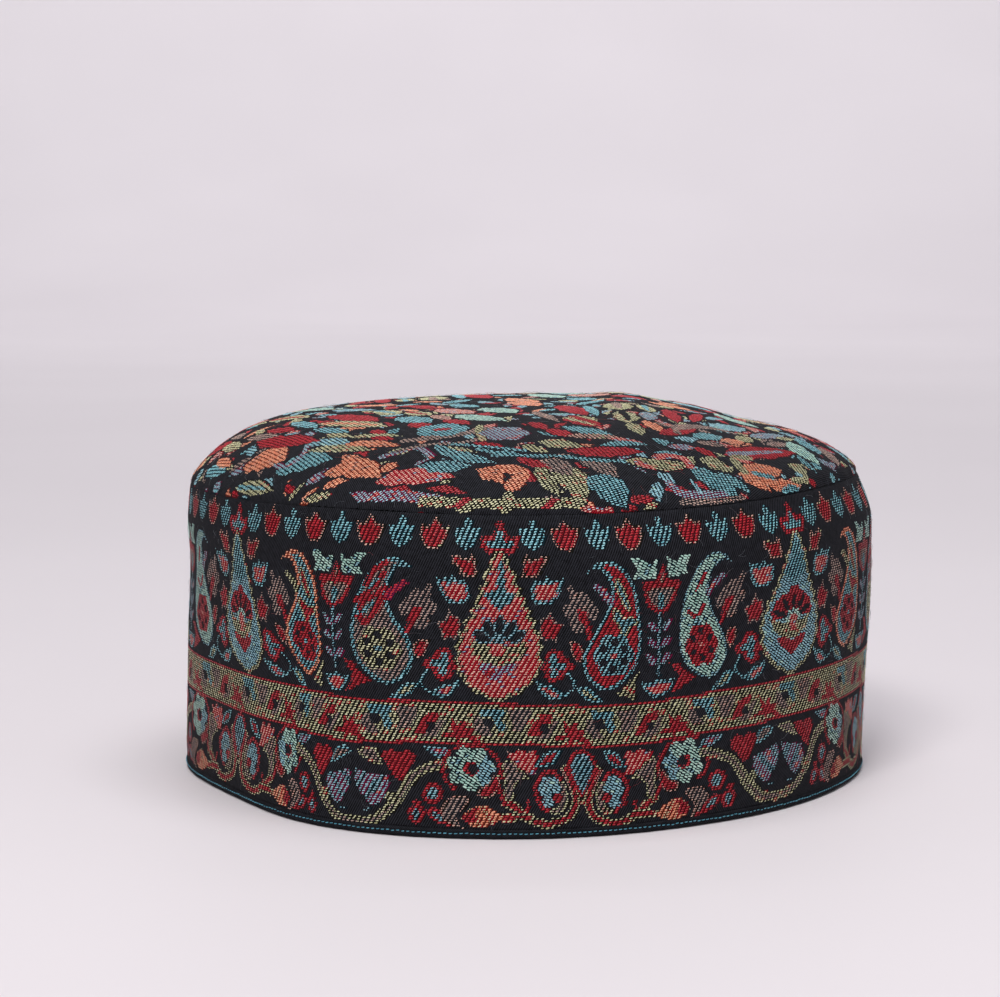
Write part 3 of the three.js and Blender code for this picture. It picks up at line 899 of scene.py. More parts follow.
# Thin lines of the crown: points, width, weave.
CROWN_LINES = (
    (((-36, -68.8), (-31, -67.4), (-27, -66.6), (-23.6, -72.6)), 2, "lavender"),
    (((-32, -67), (-24, -65), (-17, -65.6), (-11, -63)), 1.6, "taupe"),
    (((-18, -66), (-9, -69), (0, -71.4)), 1.4, "turquoise"),
    (((-12, -70), (-6, -73), (2, -74.4), (8, -74), (16, -75), (25, -74.4)), 1.6, "turquoise"),
    (((-66, -54), (-62, -58), (-58, -55), (-57, -50)), 1.6, "lavender"),
    (((-30, -60.6), (-21, -60), (-14, -57.6), (-10.4, -54)), 3.4, "taupe"),
    (((-11.4, -51), (-11.6, -57), (-10.6, -64)), 2, "yellow"),
    (((59, -53.6), (55.2, -56.4), (55.2, -60), (57.4, -64)), 2.8, "yellow"),
    (((72.4, -57.4), (76.4, -52.6), (73, -48.4)), 2.4, "yellow"),
    (((-38, -84.2), (-30, -86.8), (-21.4, -90.6)), 3.2, "lavender"),
    (((37, -80.2), (40.4, -82.6), (45, -81), (52.4, -77.6)), 2.4, "lavender"),
    (((43, -76.6), (45.4, -80)), 1.2, "steel"),
    (((41, -85), (50, -81), (58, -75.6)), 2, "taupe"),
    (((33.6, -69.4), (37, -66.6), (41, -66.6), (42.4, -69.6)), 2.6, "rose"),
    (((-9.4, -83.2), (-7, -81), (-3, -81), (-1, -83.6), (-3.4, -87.4)), 4, "peach"),
    (((60.6, -62.8), (65.4, -61.4)), 2.4, "turquoise"),
    (((15, -93.8), (22, -93.2)), 1.8, "rose"),
    (((40, -48), (40, -40), (48, -34), (56, -32)), 2, "taupe"),
    (((-48, -40), (-42, -43)), 1.6, "peach"),
)
RIM_STRIPE = (-17, 9)  # degrees round the front seam that the pale stripe covers
RIM_STRIPE_EDGE = (1.6, 4.6)  # from the cloth's edge, in mm
RIM_MM_A_DEGREE = 1.6  # along the seam
RIM_HOOK_EVERY = 22
RIM_HOOK_HALF = 1.2
LEAF_HALO = 0.8  # bare ground round each leaf
SMALL_LEAF_STEP = (10.4, 8.4)
SMALL_LEAF_SHIFT = 2
LISTED_ONLY = (-42, 74)  # nearer the front than the first, within the second of its middle
SMALL_LEAF_WEAVES = (
    "red", "taupe", "yellow", "rose", "yellow", "turquoise", "peach", "lavender", "steel", "red",
)


def small_leaves(pen):
    """Little leaves that fill the ground between the larger ones."""
    step_x, step_y = SMALL_LEAF_STEP
    rows = math.ceil(CLOTH_RADIUS / step_y)
    columns = math.ceil(CLOTH_RADIUS / step_x)
    for j in range(-rows, rows + 1):
        for i in range(-columns, columns + 1):
            x = (i + j % 2 / 2) * step_x + random.uniform(-SMALL_LEAF_SHIFT, SMALL_LEAF_SHIFT)
            y = j * step_y + random.uniform(-SMALL_LEAF_SHIFT, SMALL_LEAF_SHIFT)
            turn = random.uniform(0, math.tau)
            half = random.uniform(3, 5.4)
            wide = random.uniform(2.4, 4.2)
            weave = SMALL_LEAF_WEAVES[random.integers(len(SMALL_LEAF_WEAVES))]
            if y < LISTED_ONLY[0] and abs(x) < LISTED_ONLY[1]:
                continue
            dx = half * math.cos(turn)
            dy = half * math.sin(turn)
            pen.leaf((x - dx, y - dy), (x + dx, y + dy), wide, weave, wide * 0.3)


def crown_leaves(pen):
    """The listed leaves, each on bare ground that keeps it from its neighbours."""
    for x0, y0, x1, y1, wide, _, *more in CROWN_LEAVES:
        a = np.array((x0, y0), float)
        b = np.array((x1, y1), float)
        halo = (b - a) / np.linalg.norm(b - a) * LEAF_HALO
        pen.leaf(a - halo, b + halo, wide + 2 * LEAF_HALO, "black", *more[:1])
    for x0, y0, x1, y1, wide, weave, *more in CROWN_LEAVES:
        pen.leaf((x0, y0), (x1, y1), wide, weave, *more)


def draw_crown_half(chart, turn):
    """The leaves, stems and flowers of the half that faces the turned front."""
    pen = Pen(chart, 0, 0, turn=turn, reach=EVERYWHERE)
    small_leaves(pen)
    crown_leaves(pen)
    for points, width, weave in CROWN_LINES:
        pen.line(points, width, weave)
    pen.flower(-21, -53, 7, 5, "blue", 0.2)
    pen.oval(-21, -53, 5, 2.6, "red")
    pen.flower(-5.2, -58.6, 6.4, 6, "lavender", 0.18)
    pen.flower(49, -64.4, 3.6, 4, "yellow", 0.15)
    pen.flower(73.4, -49, 3, 4, "yellow", 0.2)
    pen.oval(78.6, -52, 3.4, 2.4, "red", turn=40)
    pen.oval(85.2, -40.6, 2.6, 4, "turquoise")


def draw_crown(chart):
    """Two like halves, turned round, and the pale stripe at the front rim."""
    draw_crown_half(chart, 180)
    behind = chart.weave.copy()
    draw_crown_half(chart, 0)
    chart.weave = np.where(chart.y > 0, behind, chart.weave)
    angle = np.degrees(np.arctan2(chart.x, -chart.y))
    edge = CLOTH_RADIUS - np.hypot(chart.x, chart.y)
    stripe = (angle > RIM_STRIPE[0]) & (angle < RIM_STRIPE[1])
    stripe &= (edge > RIM_STRIPE_EDGE[0]) & (edge < RIM_STRIPE_EDGE[1])
    chart.weave[stripe] = WEAVE_NAMES.index("yellow")
    slanting = (angle * RIM_MM_A_DEGREE - edge) % RIM_HOOK_EVERY
    hooks = stripe & (np.abs(slanting - 3) < RIM_HOOK_HALF)
    chart.weave[hooks] = WEAVE_NAMES.index("red")


STRAY_SHARE = 0.08  # of the floats, for the mixed yarns of the real weave
STRAYS = {
    "rose": "lavender", "yellow": "gold", "steel": "mint", "mint": "ice", "turquoise": "ice",
    "taupe": "cream", "ice": "turquoise", "peach": "cream", "lavender": "rose", "cream": "yellow",
}


def stray_floats(chart):
    """Here and there a cell takes a related yarn or ground, as in the real weave."""
    cells = chart.weave.reshape(-1, OVER)
    picked = random.random(len(cells)) < STRAY_SHARE
    weave = np.where((cells == cells[:, :1]).all(1) & picked, cells[:, 0], -1)
    for name, other in STRAYS.items():
        cells[weave == WEAVE_NAMES.index(name)] = WEAVE_NAMES.index(other)


# Meshes

def new_mesh(name, points, corners, sizes):
    """A mesh from points in mm, the corners of its faces in one row and their counts."""
    mesh = bpy.data.meshes.new(name)
    mesh.vertices.add(len(points))
    mesh.vertices.foreach_set("co", (np.asarray(points) * MM).astype(np.float32).ravel())
    mesh.loops.add(len(corners))
    mesh.loops.foreach_set("vertex_index", np.asarray(corners, np.int32))
    mesh.polygons.add(len(sizes))
    starts = np.concatenate([[0], np.cumsum(sizes)[:-1]])
    mesh.polygons.foreach_set("loop_start", starts.astype(np.int32))
    mesh.update(calc_edges=True)
    mesh.shade_smooth()
    return mesh


def quad_mesh(name, points, quads):
    return new_mesh(name, points, quads.ravel(), np.full(len(quads), 4))


def new_object(name, data):
    made = bpy.data.objects.new(name, data)
    bpy.context.scene.collection.objects.link(made)
    return made


def new_piece(name, mesh, materials):
    """A piece that rides with the cap, with its materials."""
    piece = new_object(name, mesh)
    for material in materials:
        mesh.materials.append(material)
    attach(piece, "root")
    return piece


def set_uv(mesh, name, uv):
    layer = mesh.uv_layers.new(name=name)
    layer.data.foreach_set("uv", np.asarray(uv, np.float32).ravel())


def frames(surface, x, y, step=0.2):
    """Places on a surface with their two directions and the way out."""
    place = surface(x, y)
    along = (surface(x + step, y) - surface(x - step, y)) / (2 * step)
    across = (surface(x, y + step) - surface(x, y - step)) / (2 * step)
    out = np.cross(along, across)
    out /= np.linalg.norm(out, axis=1, keepdims=True)
    return place, along, across, out


# One dash of yarn: corners along and across in shares of its half length and half
# width, and its height in shares of its full height
DASH = np.array(
    [
        (-1, 0, -0.5), (-0.55, -1, -0.2), (0.55, -1, -0.2), (1, 0, -0.5),
        (0.55, 1, -0.2), (-0.55, 1, -0.2), (-0.5, 0, 0.95), (0.5, 0, 1),
    ]
)
DASH_FACES = ((0, 1, 6), (1, 2, 7, 6), (2, 3, 7), (3, 4, 7), (4, 5, 6, 7), (5, 0, 6))
DASH_CORNERS = np.array([corner for face in DASH_FACES for corner in face])
DASH_HEIGHT = 0.07
SHORTEST_DASH = 0.34
# How much dashes vary, in shares of their sizes, degrees and mm
VARY_LENGTH = 0.13
VARY_WIDTH = 0.16
VARY_HEIGHT = 0.15
VARY_TILT = 7
VARY_ALONG = 0.05
VARY_ACROSS = 0.04
# Each yarn's dash: length, width, tilt in degrees
DASH_SIZES = {
    "turquoise": (1.0, 0.34, 17), "yellow": (0.98, 0.31, 17), "mint": (1.04, 0.34, 16),
    "light_blue": (1.0, 0.32, 17), "peach": (1.12, 0.38, 16), "cream": (0.88, 0.3, 18),
    "taupe": (0.94, 0.31, 17), "red": (1.06, 0.36, 15),
}
# A floating dash beside a twill one: longer, wider and leaning the other way
FLOAT_LENGTH = 0.26
FLOAT_WIDTH = 0.26
FLOAT_TURN = -36


def dashes(name, surface, x, y, short, floats, yarn, material):
    """Every dash of one yarn in one cloth, joined in one mesh; short is what each lacks."""
    length, width, tilt = DASH_SIZES[yarn]
    count = len(x)
    vary = random.normal(0, 1, (6, count))
    place = frames(surface, x + VARY_ALONG * vary[4], y + VARY_ACROSS * vary[5])
    middle, along, across, out = (part[:, None] for part in place)
    length = length * (1 + FLOAT_LENGTH * floats)
    half_length = np.maximum(length - short, SHORTEST_DASH) / 2 * (1 + VARY_LENGTH * vary[0])
    half_width = width * (1 + FLOAT_WIDTH * floats) / 2 * (1 + VARY_WIDTH * vary[1])
    tilt = np.radians(tilt + FLOAT_TURN * floats + VARY_TILT * vary[2])[:, None]
    height = DASH_HEIGHT * (1 + VARY_HEIGHT * vary[3])
    u = DASH[:, 0] * half_length[:, None]
    w = DASH[:, 1] * half_width[:, None]
    du = (u * np.cos(tilt) - w * np.sin(tilt))[..., None]
    dv = (u * np.sin(tilt) + w * np.cos(tilt))[..., None]
    lift = (DASH[:, 2] * height[:, None])[..., None]
    points = middle + along * du + across * dv + out * lift
    first = np.arange(count)[:, None] * len(DASH)
    corners = (first + DASH_CORNERS).ravel()
    sizes = np.tile([len(face) for face in DASH_FACES], count)
    mesh = new_mesh(name, points.reshape(-1, 3), corners, sizes)
    set_uv(mesh, "OFBake", tile_uv(count))
    return new_piece(name, mesh, [material])


TILE_SHARE = (0.42, 0.3)  # of a tile that half a dash takes


def tile_uv(count):
    """Each dash on a tile of its own, in a square of tiles."""
    side = math.ceil(math.sqrt(count))
    flat = DASH[:, :2] * TILE_SHARE + 0.5
    index = np.arange(count)
    tile = np.stack([index % side, index // side], axis=-1)
    uv = (tile[:, None] + flat) / side
    return uv[:, DASH_CORNERS]


def all_dashes(cloth, surface, chart, materials):
    """The dashes of a cloth, a piece for each yarn that it has."""
    x, y, weave, length = chart.runs()
    short = (OVER - length) * chart.thread
    yarns = np.array([WEAVES[name][1] or "" for name in WEAVE_NAMES])[weave]
    floats = np.array([WEAVES[name][2] == "float" for name in WEAVE_NAMES])[weave]
    for yarn in YARNS:
        some = yarns == yarn
        if some.any():
            each = (part[some] for part in (x, y, short, floats))
            dashes(f"{cloth}_{yarn}", surface, *each, yarn, materials[yarn])


def ground_of(weave):
    grounds = [GROUNDS.index(WEAVES[name][0]) for name in WEAVE_NAMES]
    return np.array(grounds)[weave]


# Materials

def srgb(*channels):
    """A linear colour from display values, 0 to 255."""
    share = np.array(channels) / 255
    linear = np.where(share <= 0.04045, share / 12.92, ((share + 0.055) / 1.055) ** 2.4)
    return (*linear, 1.0)


class Nodes:
    """Short words for making a material's nodes."""

    def __init__(self, name, roughness, specular, sheen=0.0):
        self.material = bpy.data.materials.new(name)
        self.material.use_nodes = True
        self.tree = self.material.node_tree
        self.shader = self.tree.nodes["Principled BSDF"]
        self.shader.inputs["Roughness"].default_value = roughness
        self.shader.inputs["Specular IOR Level"].default_value = specular
        self.shader.inputs["Sheen Weight"].default_value = sheen
        self.shader.inputs["Sheen Roughness"].default_value = 0.4

    def add(self, kind, settings=None, **inputs):
        node = self.tree.nodes.new(f"ShaderNode{kind}")
        for key, value in (settings or {}).items():
            setattr(node, key, value)
        for key, value in inputs.items():
            socket = node.inputs[int(key[1:]) if key[1:].isdigit() else key.replace("_", " ")]
            if isinstance(value, bpy.types.NodeSocket):
                self.tree.links.new(value, socket)
            else:
                socket.default_value = value
        return node

    def math(self, operation, a, b=0.0):
        return self.add("Math", {"operation": operation}, _0=a, _1=b).outputs[0]

    def mix(self, share, a, b):
        node = self.add("Mix", {"data_type": "RGBA"}, _0=share, _6=a, _7=b)
        return node.outputs[2]

    def noise(self, scale, detail):
        place = self.add("TexCoord").outputs["Object"]
        return self.add("TexNoise", Vector=place, Scale=scale, Detail=detail).outputs["Fac"]

    def colour(self, socket):
        self.tree.links.new(socket, self.shader.inputs["Base Color"])

    def bump(self, height, distance):
        node = self.add("Bump", Height=height, Distance=distance, Strength=1.0)
        self.tree.links.new(node.outputs["Normal"], self.shader.inputs["Normal"])


def stretched(nodes, value, low, high):
    """A value's range from low to high, stretched to 0 to 1."""
    return nodes.add("MapRange", Value=value, From_Min=low, From_Max=high).outputs[0]


# Scales of noise, larger where it is finer
FLOOR_TONES = 3
RED_FIBRES = 31
PALE_FIBRES = 45
PATCHES = 60
CLOTH_TONES = 700
EACH_DASH = 1300
ROUGH_CLOTH = 2600
ROUGH_YARN = 5200


def yarn_material(name, colour, shade):
    """Spun yarn: each dash a little lighter or darker, with a fine rough surface."""
    nodes = Nodes(name, roughness=0.4, specular=0.5)
    vary = stretched(nodes, nodes.noise(EACH_DASH, 1), 0.32, 0.68)
    broad = stretched(nodes, nodes.noise(PATCHES, 2), 0.3, 0.7)
    mixed = nodes.mix(nodes.math("MULTIPLY", vary, 0.72), colour, shade)
    nodes.colour(nodes.mix(nodes.math("MULTIPLY", broad, 0.22), mixed, shade))
    nodes.bump(nodes.noise(ROUGH_YARN, 3), 0.06 * MM)
    return nodes.material


LINES_A_CELL = 2  # twill lines of the plain cloth in the width of one dash's cell


def ground_material(name, colour, shade):
    """The cloth under the dashes: steep fine twill lines, crossed by the picks. Its colour is darker in the
    low grooves between the twill lines and the picks and lighter on the ribs, painted shade that follows the
    relief, with random tone besides.
    """
    nodes = Nodes(name, roughness=0.8, specular=0.1)
    place = nodes.add("UVMap", {"uv_map": "weave"}).outputs["UV"]
    split = nodes.add("SeparateXYZ", Vector=place)
    across, up = split.outputs[0], split.outputs[1]
    pick = nodes.math("ABSOLUTE", nodes.math("SINE", nodes.math("MULTIPLY", up, math.pi * 2)))
    slant = nodes.math("SUBTRACT", across, nodes.math("MULTIPLY", up, TWILL_STEP))
    line = nodes.math("PINGPONG", nodes.math("MULTIPLY", slant, LINES_A_CELL), 0.5)
    twill = stretched(nodes, line, 0.08, 0.4)
    vary = stretched(nodes, nodes.noise(CLOTH_TONES, 3), 0.3, 0.7)
    ribs = nodes.math("MULTIPLY", twill, nodes.math("ADD", nodes.math("MULTIPLY", pick, 0.4), 0.6))
    uneven = nodes.math("ADD", nodes.math("MULTIPLY", ribs, 0.65), nodes.math("MULTIPLY", vary, 0.35))
    height = nodes.math("ADD", nodes.math("MULTIPLY", uneven, 0.8), nodes.noise(ROUGH_CLOTH, 2))
    # painted shade: the low parts of the relief, the grooves and the gaps between picks, take the darker
    # colour and the ribs the lighter one
    low = stretched(nodes, uneven, 0.75, 0.2)
    mixed = nodes.mix(nodes.math("MULTIPLY", vary, 0.25), colour, shade)
    nodes.colour(nodes.mix(low, mixed, shade))
    nodes.bump(height, 0.16 * MM)
    return nodes.material


# Each yarn's and ground's two display colours, mixed by noise; a ground's darker colour is also painted
# shade in the low grooves of its twill
YARN_COLOURS = {
    "turquoise": (srgb(172, 228, 236), srgb(56, 148, 168)),
    "yellow": (srgb(242, 240, 200), srgb(166, 164, 108)),
    "mint": (srgb(206, 236, 222), srgb(106, 166, 152)),
    "light_blue": (srgb(172, 216, 226), srgb(80, 142, 164)),
    "peach": (srgb(255, 192, 156), srgb(228, 108, 70)),
    "cream": (srgb(242, 200, 184), srgb(198, 124, 112)),
    "taupe": (srgb(212, 184, 170), srgb(136, 102, 96)),
    "red": (srgb(210, 40, 54), srgb(140, 11, 25)),
}
GROUND_COLOURS = {
    "black": (srgb(46, 47, 54), srgb(5, 5, 7)),
    "maroon": (srgb(112, 13, 24), srgb(34, 5, 11)),
    "crimson": (srgb(176, 22, 38), srgb(84, 10, 20)),
    "teal": (srgb(9, 34, 44), srgb(5, 14, 20)),
    "navy": (srgb(12, 20, 34), srgb(6, 8, 14)),
    "rust": (srgb(132, 48, 30), srgb(56, 18, 14)),
    "olive": (srgb(26, 24, 17), srgb(10, 9, 8)),
    "plum": (srgb(118, 18, 62), srgb(50, 9, 30)),
}


def hem_thread_material():
    return yarn_material("hem_thread", srgb(96, 172, 194), srgb(36, 98, 122))


def fibre_material():
    """Loose fibres in pale, dark and red wool by turns."""
    nodes = Nodes("loose_fibre", roughness=0.6, specular=0.3, sheen=0.1)
    lighter = stretched(nodes, nodes.noise(PALE_FIBRES, 2), 0.42, 0.58)
    pale = nodes.mix(lighter, srgb(120, 124, 132), srgb(70, 74, 84))
    red = stretched(nodes, nodes.noise(RED_FIBRES, 1), 0.56, 0.62)
    nodes.colour(nodes.mix(red, pale, srgb(150, 60, 60)))
    return nodes.material


def make_materials():
    yarns = {name: yarn_material(f"yarn_{name}", *YARN_COLOURS[name]) for name in YARNS}
    grounds = [ground_material(f"ground_{name}", *GROUND_COLOURS[name]) for name in GROUNDS]
    return yarns, grounds


# The pieces

UNIT_SQUARE = np.array([(0, 0), (1, 0), (1, 1), (0, 1)])


def grid(columns, rows):
    return np.meshgrid(np.arange(columns), np.arange(rows))


def ring_corners(columns, rings, closed=False):
    """The quads between rings of points, and from the last to the first if closed."""
    i, j = grid(columns, rings if closed else rings - 1)
    right = (i + 1) % columns
    low = j * columns
    high = (j + 1) % rings * columns
    return np.stack([low + i, low + right, high + right, high + i], -1).reshape(-1, 4)


def tubes(rings, sides):
    """Points and quads of many like tubes; each row of rings is one corner of them all."""
    points = np.stack(rings, 1)
    count, corners, _ = points.shape
    first = np.arange(count)[:, None, None] * corners
    quads = ring_corners(sides, corners // sides) + first
    return points.reshape(-1, 3), quads.reshape(-1, 4)


INSIDE_ROWS = 24
BAKE_STRIPS = 6


def band_bake(column, row, rows):
    """The band's rows laid out in strips, one above the other."""
    rows_each = math.ceil(rows / BAKE_STRIPS)
    up = (row % rows_each / rows_each + row // rows_each) / BAKE_STRIPS
    place = np.stack([column / CELLS_ROUND, up], -1)
    return place[:, None] + UNIT_SQUARE * (1 / CELLS_ROUND, 1 / rows_each / BAKE_STRIPS)


def band_cloth(materials):
    """The band: its outer cloth in cells of the weave, its edges turned in, its inside."""
    height = BAND_TOP - HEM_TOP
    rows = round(height / ROW)
    step = height / rows
    i, j = grid(CELLS_ROUND, rows + 1)
    s = BACK_LEFT + (i + j * TWILL_STEP) * PITCH
    outside = wall_point(s.ravel(), (HEM_TOP + j * step).ravel())
    i, j = grid(CELLS_ROUND, INSIDE_ROWS + 1)
    s = BACK_LEFT + (i + rows * TWILL_STEP * (1 - j / INSIDE_ROWS)) * PITCH
    v = BAND_TOP - j * height / INSIDE_ROWS
    inside = plain_wall(angle_at(s.ravel()), v.ravel(), BAND_THICKNESS)
    rings = rows + INSIDE_ROWS + 2
    quads = ring_corners(CELLS_ROUND, rings, closed=True)
    mesh = quad_mesh("band_cloth", np.concatenate([outside, inside]), quads)
    i, j = (part.ravel() + 0.5 for part in grid(CELLS_ROUND, rows))
    chart = Chart(BACK_LEFT + (i + j * TWILL_STEP) * PITCH, HEM_TOP + j * step, PITCH)
    chart.x = wrapped(chart.x)
    draw_band(chart)
    stray_floats(chart)
    ground = np.zeros(len(quads), np.int32)
    ground[: rows * CELLS_ROUND] = chart.ground()
    mesh.polygons.foreach_set("material_index", ground)
    column, row = (part.ravel() for part in grid(CELLS_ROUND, rings))
    leaning = UNIT_SQUARE + UNIT_SQUARE[:, 1:] * (TWILL_STEP, 0)
    set_uv(mesh, "weave", np.stack([column + row * TWILL_STEP, row], -1)[:, None] + leaning)
    set_uv(mesh, "OFBake", band_bake(column, row, rings))
    piece = new_piece("band_cloth", mesh, materials)
    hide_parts("side_band")
    return chart


RIM_RADIUS = CLOTH_RADIUS - RIM_TURN
CROWN_TURNS = 240
CROWN_RINGS = 15
INNERMOST_SHARE = 0.02
NO_DASHES = 0.5  # from the rim, where the cloth goes into the seam
INSIDE_BAKE = (0.1, (85, 85))  # the inner face's size and place beside the round cloth
BAKE_SIZE = 2.1 * CLOTH_RADIUS


def round_cloth():
    """The crown's flat cloth cut round: its points, cells and the cells' middles."""
    half = math.ceil(CLOTH_RADIUS / ROW) + 1
    wide = math.ceil(CLOTH_RADIUS / CROWN_PITCH) + half // 4 + 2
    i, j = grid(2 * wide + 1, 2 * half + 1)
    x = ((i - wide + (j - half) * CROWN_STEP) * CROWN_PITCH).ravel()
    y = ((j - half) * ROW).ravel()
    across, up = grid(2 * wide, 2 * half)
    low = (up * (2 * wide + 1) + across).ravel()
    high = low + 2 * wide + 1
    quads = np.stack([low, low + 1, high + 1, high], -1)
    length = np.hypot(x, y)
    quads = quads[(length[quads] < RIM_RADIUS).sum(1) >= 2]
    middle = np.stack([x[quads].mean(1), y[quads].mean(1)], -1)
    pull = RIM_RADIUS / np.maximum(length, RIM_RADIUS)
    used, quads = np.unique(quads, return_inverse=True)
    flat = np.stack([x * pull, y * pull], -1)[used]
    return flat, quads.reshape(-1, 4), middle


def crown_inside():
    """The rim turned in under the seam, and the dome's inner face up to its middle."""
    angle = np.linspace(-math.pi, math.pi, CROWN_TURNS, endpoint=False)
    rings = [crown_point(RIM_RADIUS * np.sin(angle), -RIM_RADIUS * np.cos(angle))]
    shares = np.cos(np.linspace(0, math.pi / 2, CROWN_RINGS))[:-1]
    for share in (*shares, INNERMOST_SHARE):
        radius = (SEAM_RADIUS - CROWN_THICKNESS) * share
        height = DOME_BASE + dome_height(share, DOME_RISE - CROWN_THICKNESS)
        rings.append(settled(angle, np.full(CROWN_TURNS, radius), np.full(CROWN_TURNS, height)))
    # Starting each quad at its second corner sets which way its diagonal runs.
    quads = np.roll(ring_corners(CROWN_TURNS, len(rings)), -1, axis=1)
    return np.concatenate(rings), quads


def crown_cloth(materials):
    """The crown: flat round cloth over the dome, its rim turned in, and its inside."""
    flat, cells, middle = round_cloth()
    inside, inside_quads = crown_inside()
    chart = Chart(middle[:, 0], middle[:, 1], CROWN_PITCH)
    draw_crown(chart)
    stray_floats(chart)
    points = np.concatenate([crown_point(flat[:, 0], flat[:, 1]), inside])
    quads = np.concatenate([cells, inside_quads + len(flat)])
    mesh = quad_mesh("crown_cloth", points, quads)
    ground = np.zeros(len(quads), np.int32)
    ground[: len(cells)] = chart.ground()
    mesh.polygons.foreach_set("material_index", ground)
    plan = inside[inside_quads][..., :2]
    set_uv(mesh, "weave", np.concatenate([flat[cells], plan]) / (CROWN_PITCH, ROW))
    size, shift = INSIDE_BAKE
    set_uv(mesh, "OFBake", np.concatenate([flat[cells], plan * size + shift]) / BAKE_SIZE + 0.5)
    piece = new_piece("crown_cloth", mesh, materials)
    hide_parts("crown_top")
    cut_off = np.hypot(chart.x, chart.y) > CLOTH_RADIUS - NO_DASHES
    chart.weave[cut_off] = WEAVE_NAMES.index("black")
    return chart


# The folded hem's section: how far out from the wall's face, and height
HEM_SECTION = (
    (-1.2, 2.5), (-0.3, 2.45), (0.15, 2.2), (0.32, 1.8), (0.2, 1.5), (0.3, 1.2), (0.28, 0.7),
    (0.05, 0.25), (-0.5, 0.0), (-1.4, 0.0), (-2.2, 0.05), (-2.62, 0.4), (-2.68, 1.2), (-2.5, 2.2),
    (-1.9, 2.5),
)
HEM_TURNS = 2 * CELLS_ROUND
STITCHES = 440
STITCH_HEIGHT = 1.3
STITCH_STEP = RING_LENGTH / STITCHES
STITCH_SHARE = 0.68  # of a step that is thread; the rest is the gap to the next stitch
STITCH_HALF = STITCH_STEP * STITCH_SHARE / 2
STITCH_SLANT = 0.04
STITCH_SIDES = 6
THREAD_OUT = 0.12  # half of the thread's thickness out of the cloth, and up it
THREAD_UP = 0.13
# Along half a stitch, and how far out of the cloth its middle is
STITCH_BEND = ((-1, -0.05), (-0.8, 0.28), (-0.3, 0.4), (0.3, 0.4), (0.8, 0.28), (1, -0.05))


def hem(material):
    """The folded edge: its section carried round the cap, a little wavy outside."""
    section = bent(HEM_SECTION, closed=True, steps=2)
    s = BACK_LEFT + np.arange(HEM_TURNS) / HEM_TURNS * RING_LENGTH
    angle = angle_at(s)
    wave = 0.05 * np.sin(s / 1.9) + 0.06 * np.sin(s / 5.3)
    rings = [
        plain_wall(angle, np.full(HEM_TURNS, max(z, 0.0)), -out - wave * (out > 0))
        for out, z in section
    ]
    points = np.concatenate(rings)
    points[:, 2] = np.maximum(points[:, 2], 0)
    quads = ring_corners(HEM_TURNS, len(section), closed=True)[:, ::-1]
    mesh = quad_mesh("hem_fold", points, quads)
    place = np.stack([part.ravel() for part in grid(HEM_TURNS, len(section))], -1)
    set_uv(mesh, "weave", (place[:, None] + UNIT_SQUARE[::-1]) * (0.5, 1))
    piece = new_piece("hem_fold", mesh, [material])
    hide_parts("hem_edge")


def stitches(material):
    """The running stitch that holds the folded hem, a short bar of thread each."""
    place = BACK_LEFT + (np.arange(STITCHES) + 0.5) * STITCH_STEP
    height = STITCH_HEIGHT + random.normal(0, 0.05, STITCHES)
    rings = []
    for along, lift in STITCH_BEND:
        middle, _, up, out = frames(
            lambda s, v: plain_wall(angle_at(s), v),
            place + along * STITCH_HALF,
            height + STITCH_SLANT * along,
        )
        up = up / np.linalg.norm(up, axis=1, keepdims=True)
        for turn in np.arange(STITCH_SIDES) * math.tau / STITCH_SIDES:
            away = out * THREAD_OUT * math.cos(turn) + up * THREAD_UP * math.sin(turn)
            rings.append(middle + out * lift + away)
    points, quads = tubes(rings, STITCH_SIDES)
    mesh = quad_mesh("hem_stitches", points, quads[:, ::-1])
    new_piece("hem_stitches", mesh, [material])


FIBRES = 2200
FIBRE_RADIUS = 0.02
FIBRE_STEPS = 3
FIBRE_SIDES = 3
ON_BAND = 0.6  # share of the fibres


def fibres(material):
    """Fine loose fibres of the wool that stand a little off the cloth."""
    on_band = random.uniform(size=FIBRES) < ON_BAND
    s = random.uniform(BACK_LEFT, BACK_RIGHT, FIBRES)
    v = random.uniform(3, SEAM_HEIGHT - 1, FIBRES)
    length = CLOTH_RADIUS * np.sqrt(random.uniform(0, 0.98, FIBRES))
    way = random.uniform(0, math.tau, FIBRES)
    band = frames(wall_point, s, v)
    crown = frames(crown_point, length * np.sin(way), length * np.cos(way))
    place, along, across, out = (np.where(on_band[:, None], b, c) for b, c in zip(band, crown))
    turn = random.uniform(0, math.tau, FIBRES)
    curl = random.normal(0, 0.3, FIBRES)
    size = random.uniform(0.6, 1.9, FIBRES)
    lift = random.uniform(0.12, 0.4, FIBRES)
    rings = []
    for t in np.linspace(-1, 1, FIBRE_STEPS + 1):
        heading = turn + curl * t
        ahead = along * np.cos(heading)[:, None] + across * np.sin(heading)[:, None]
        side = across * np.cos(heading)[:, None] - along * np.sin(heading)[:, None]
        height = 0.1 + lift * (1 - t**2)
        middle = place + ahead * (size * t)[:, None] + out * height[:, None]
        for around in np.arange(FIBRE_SIDES) * math.tau / FIBRE_SIDES:
            rings.append(middle + FIBRE_RADIUS * (out * math.cos(around) + side * math.sin(around)))
    mesh = quad_mesh("loose_fibres", *tubes(rings, FIBRE_SIDES))
    new_piece("loose_fibres", mesh, [material])


# Stage, light and camera

FLOOR_FRONT = -6.0
FLOOR_BACK = 2.2
FLOOR_CURVE = 1.5
FLOOR_TOP = 5.0
FLOOR_HALF_WIDTH = 6.0
FLOOR_DROP = 0.0002  # under the hem, so that the two faces don't coincide
FLOOR_FIRST_TURN = 0.1  # radians, where the curve's first step ends
FLOOR_TURNS = 14


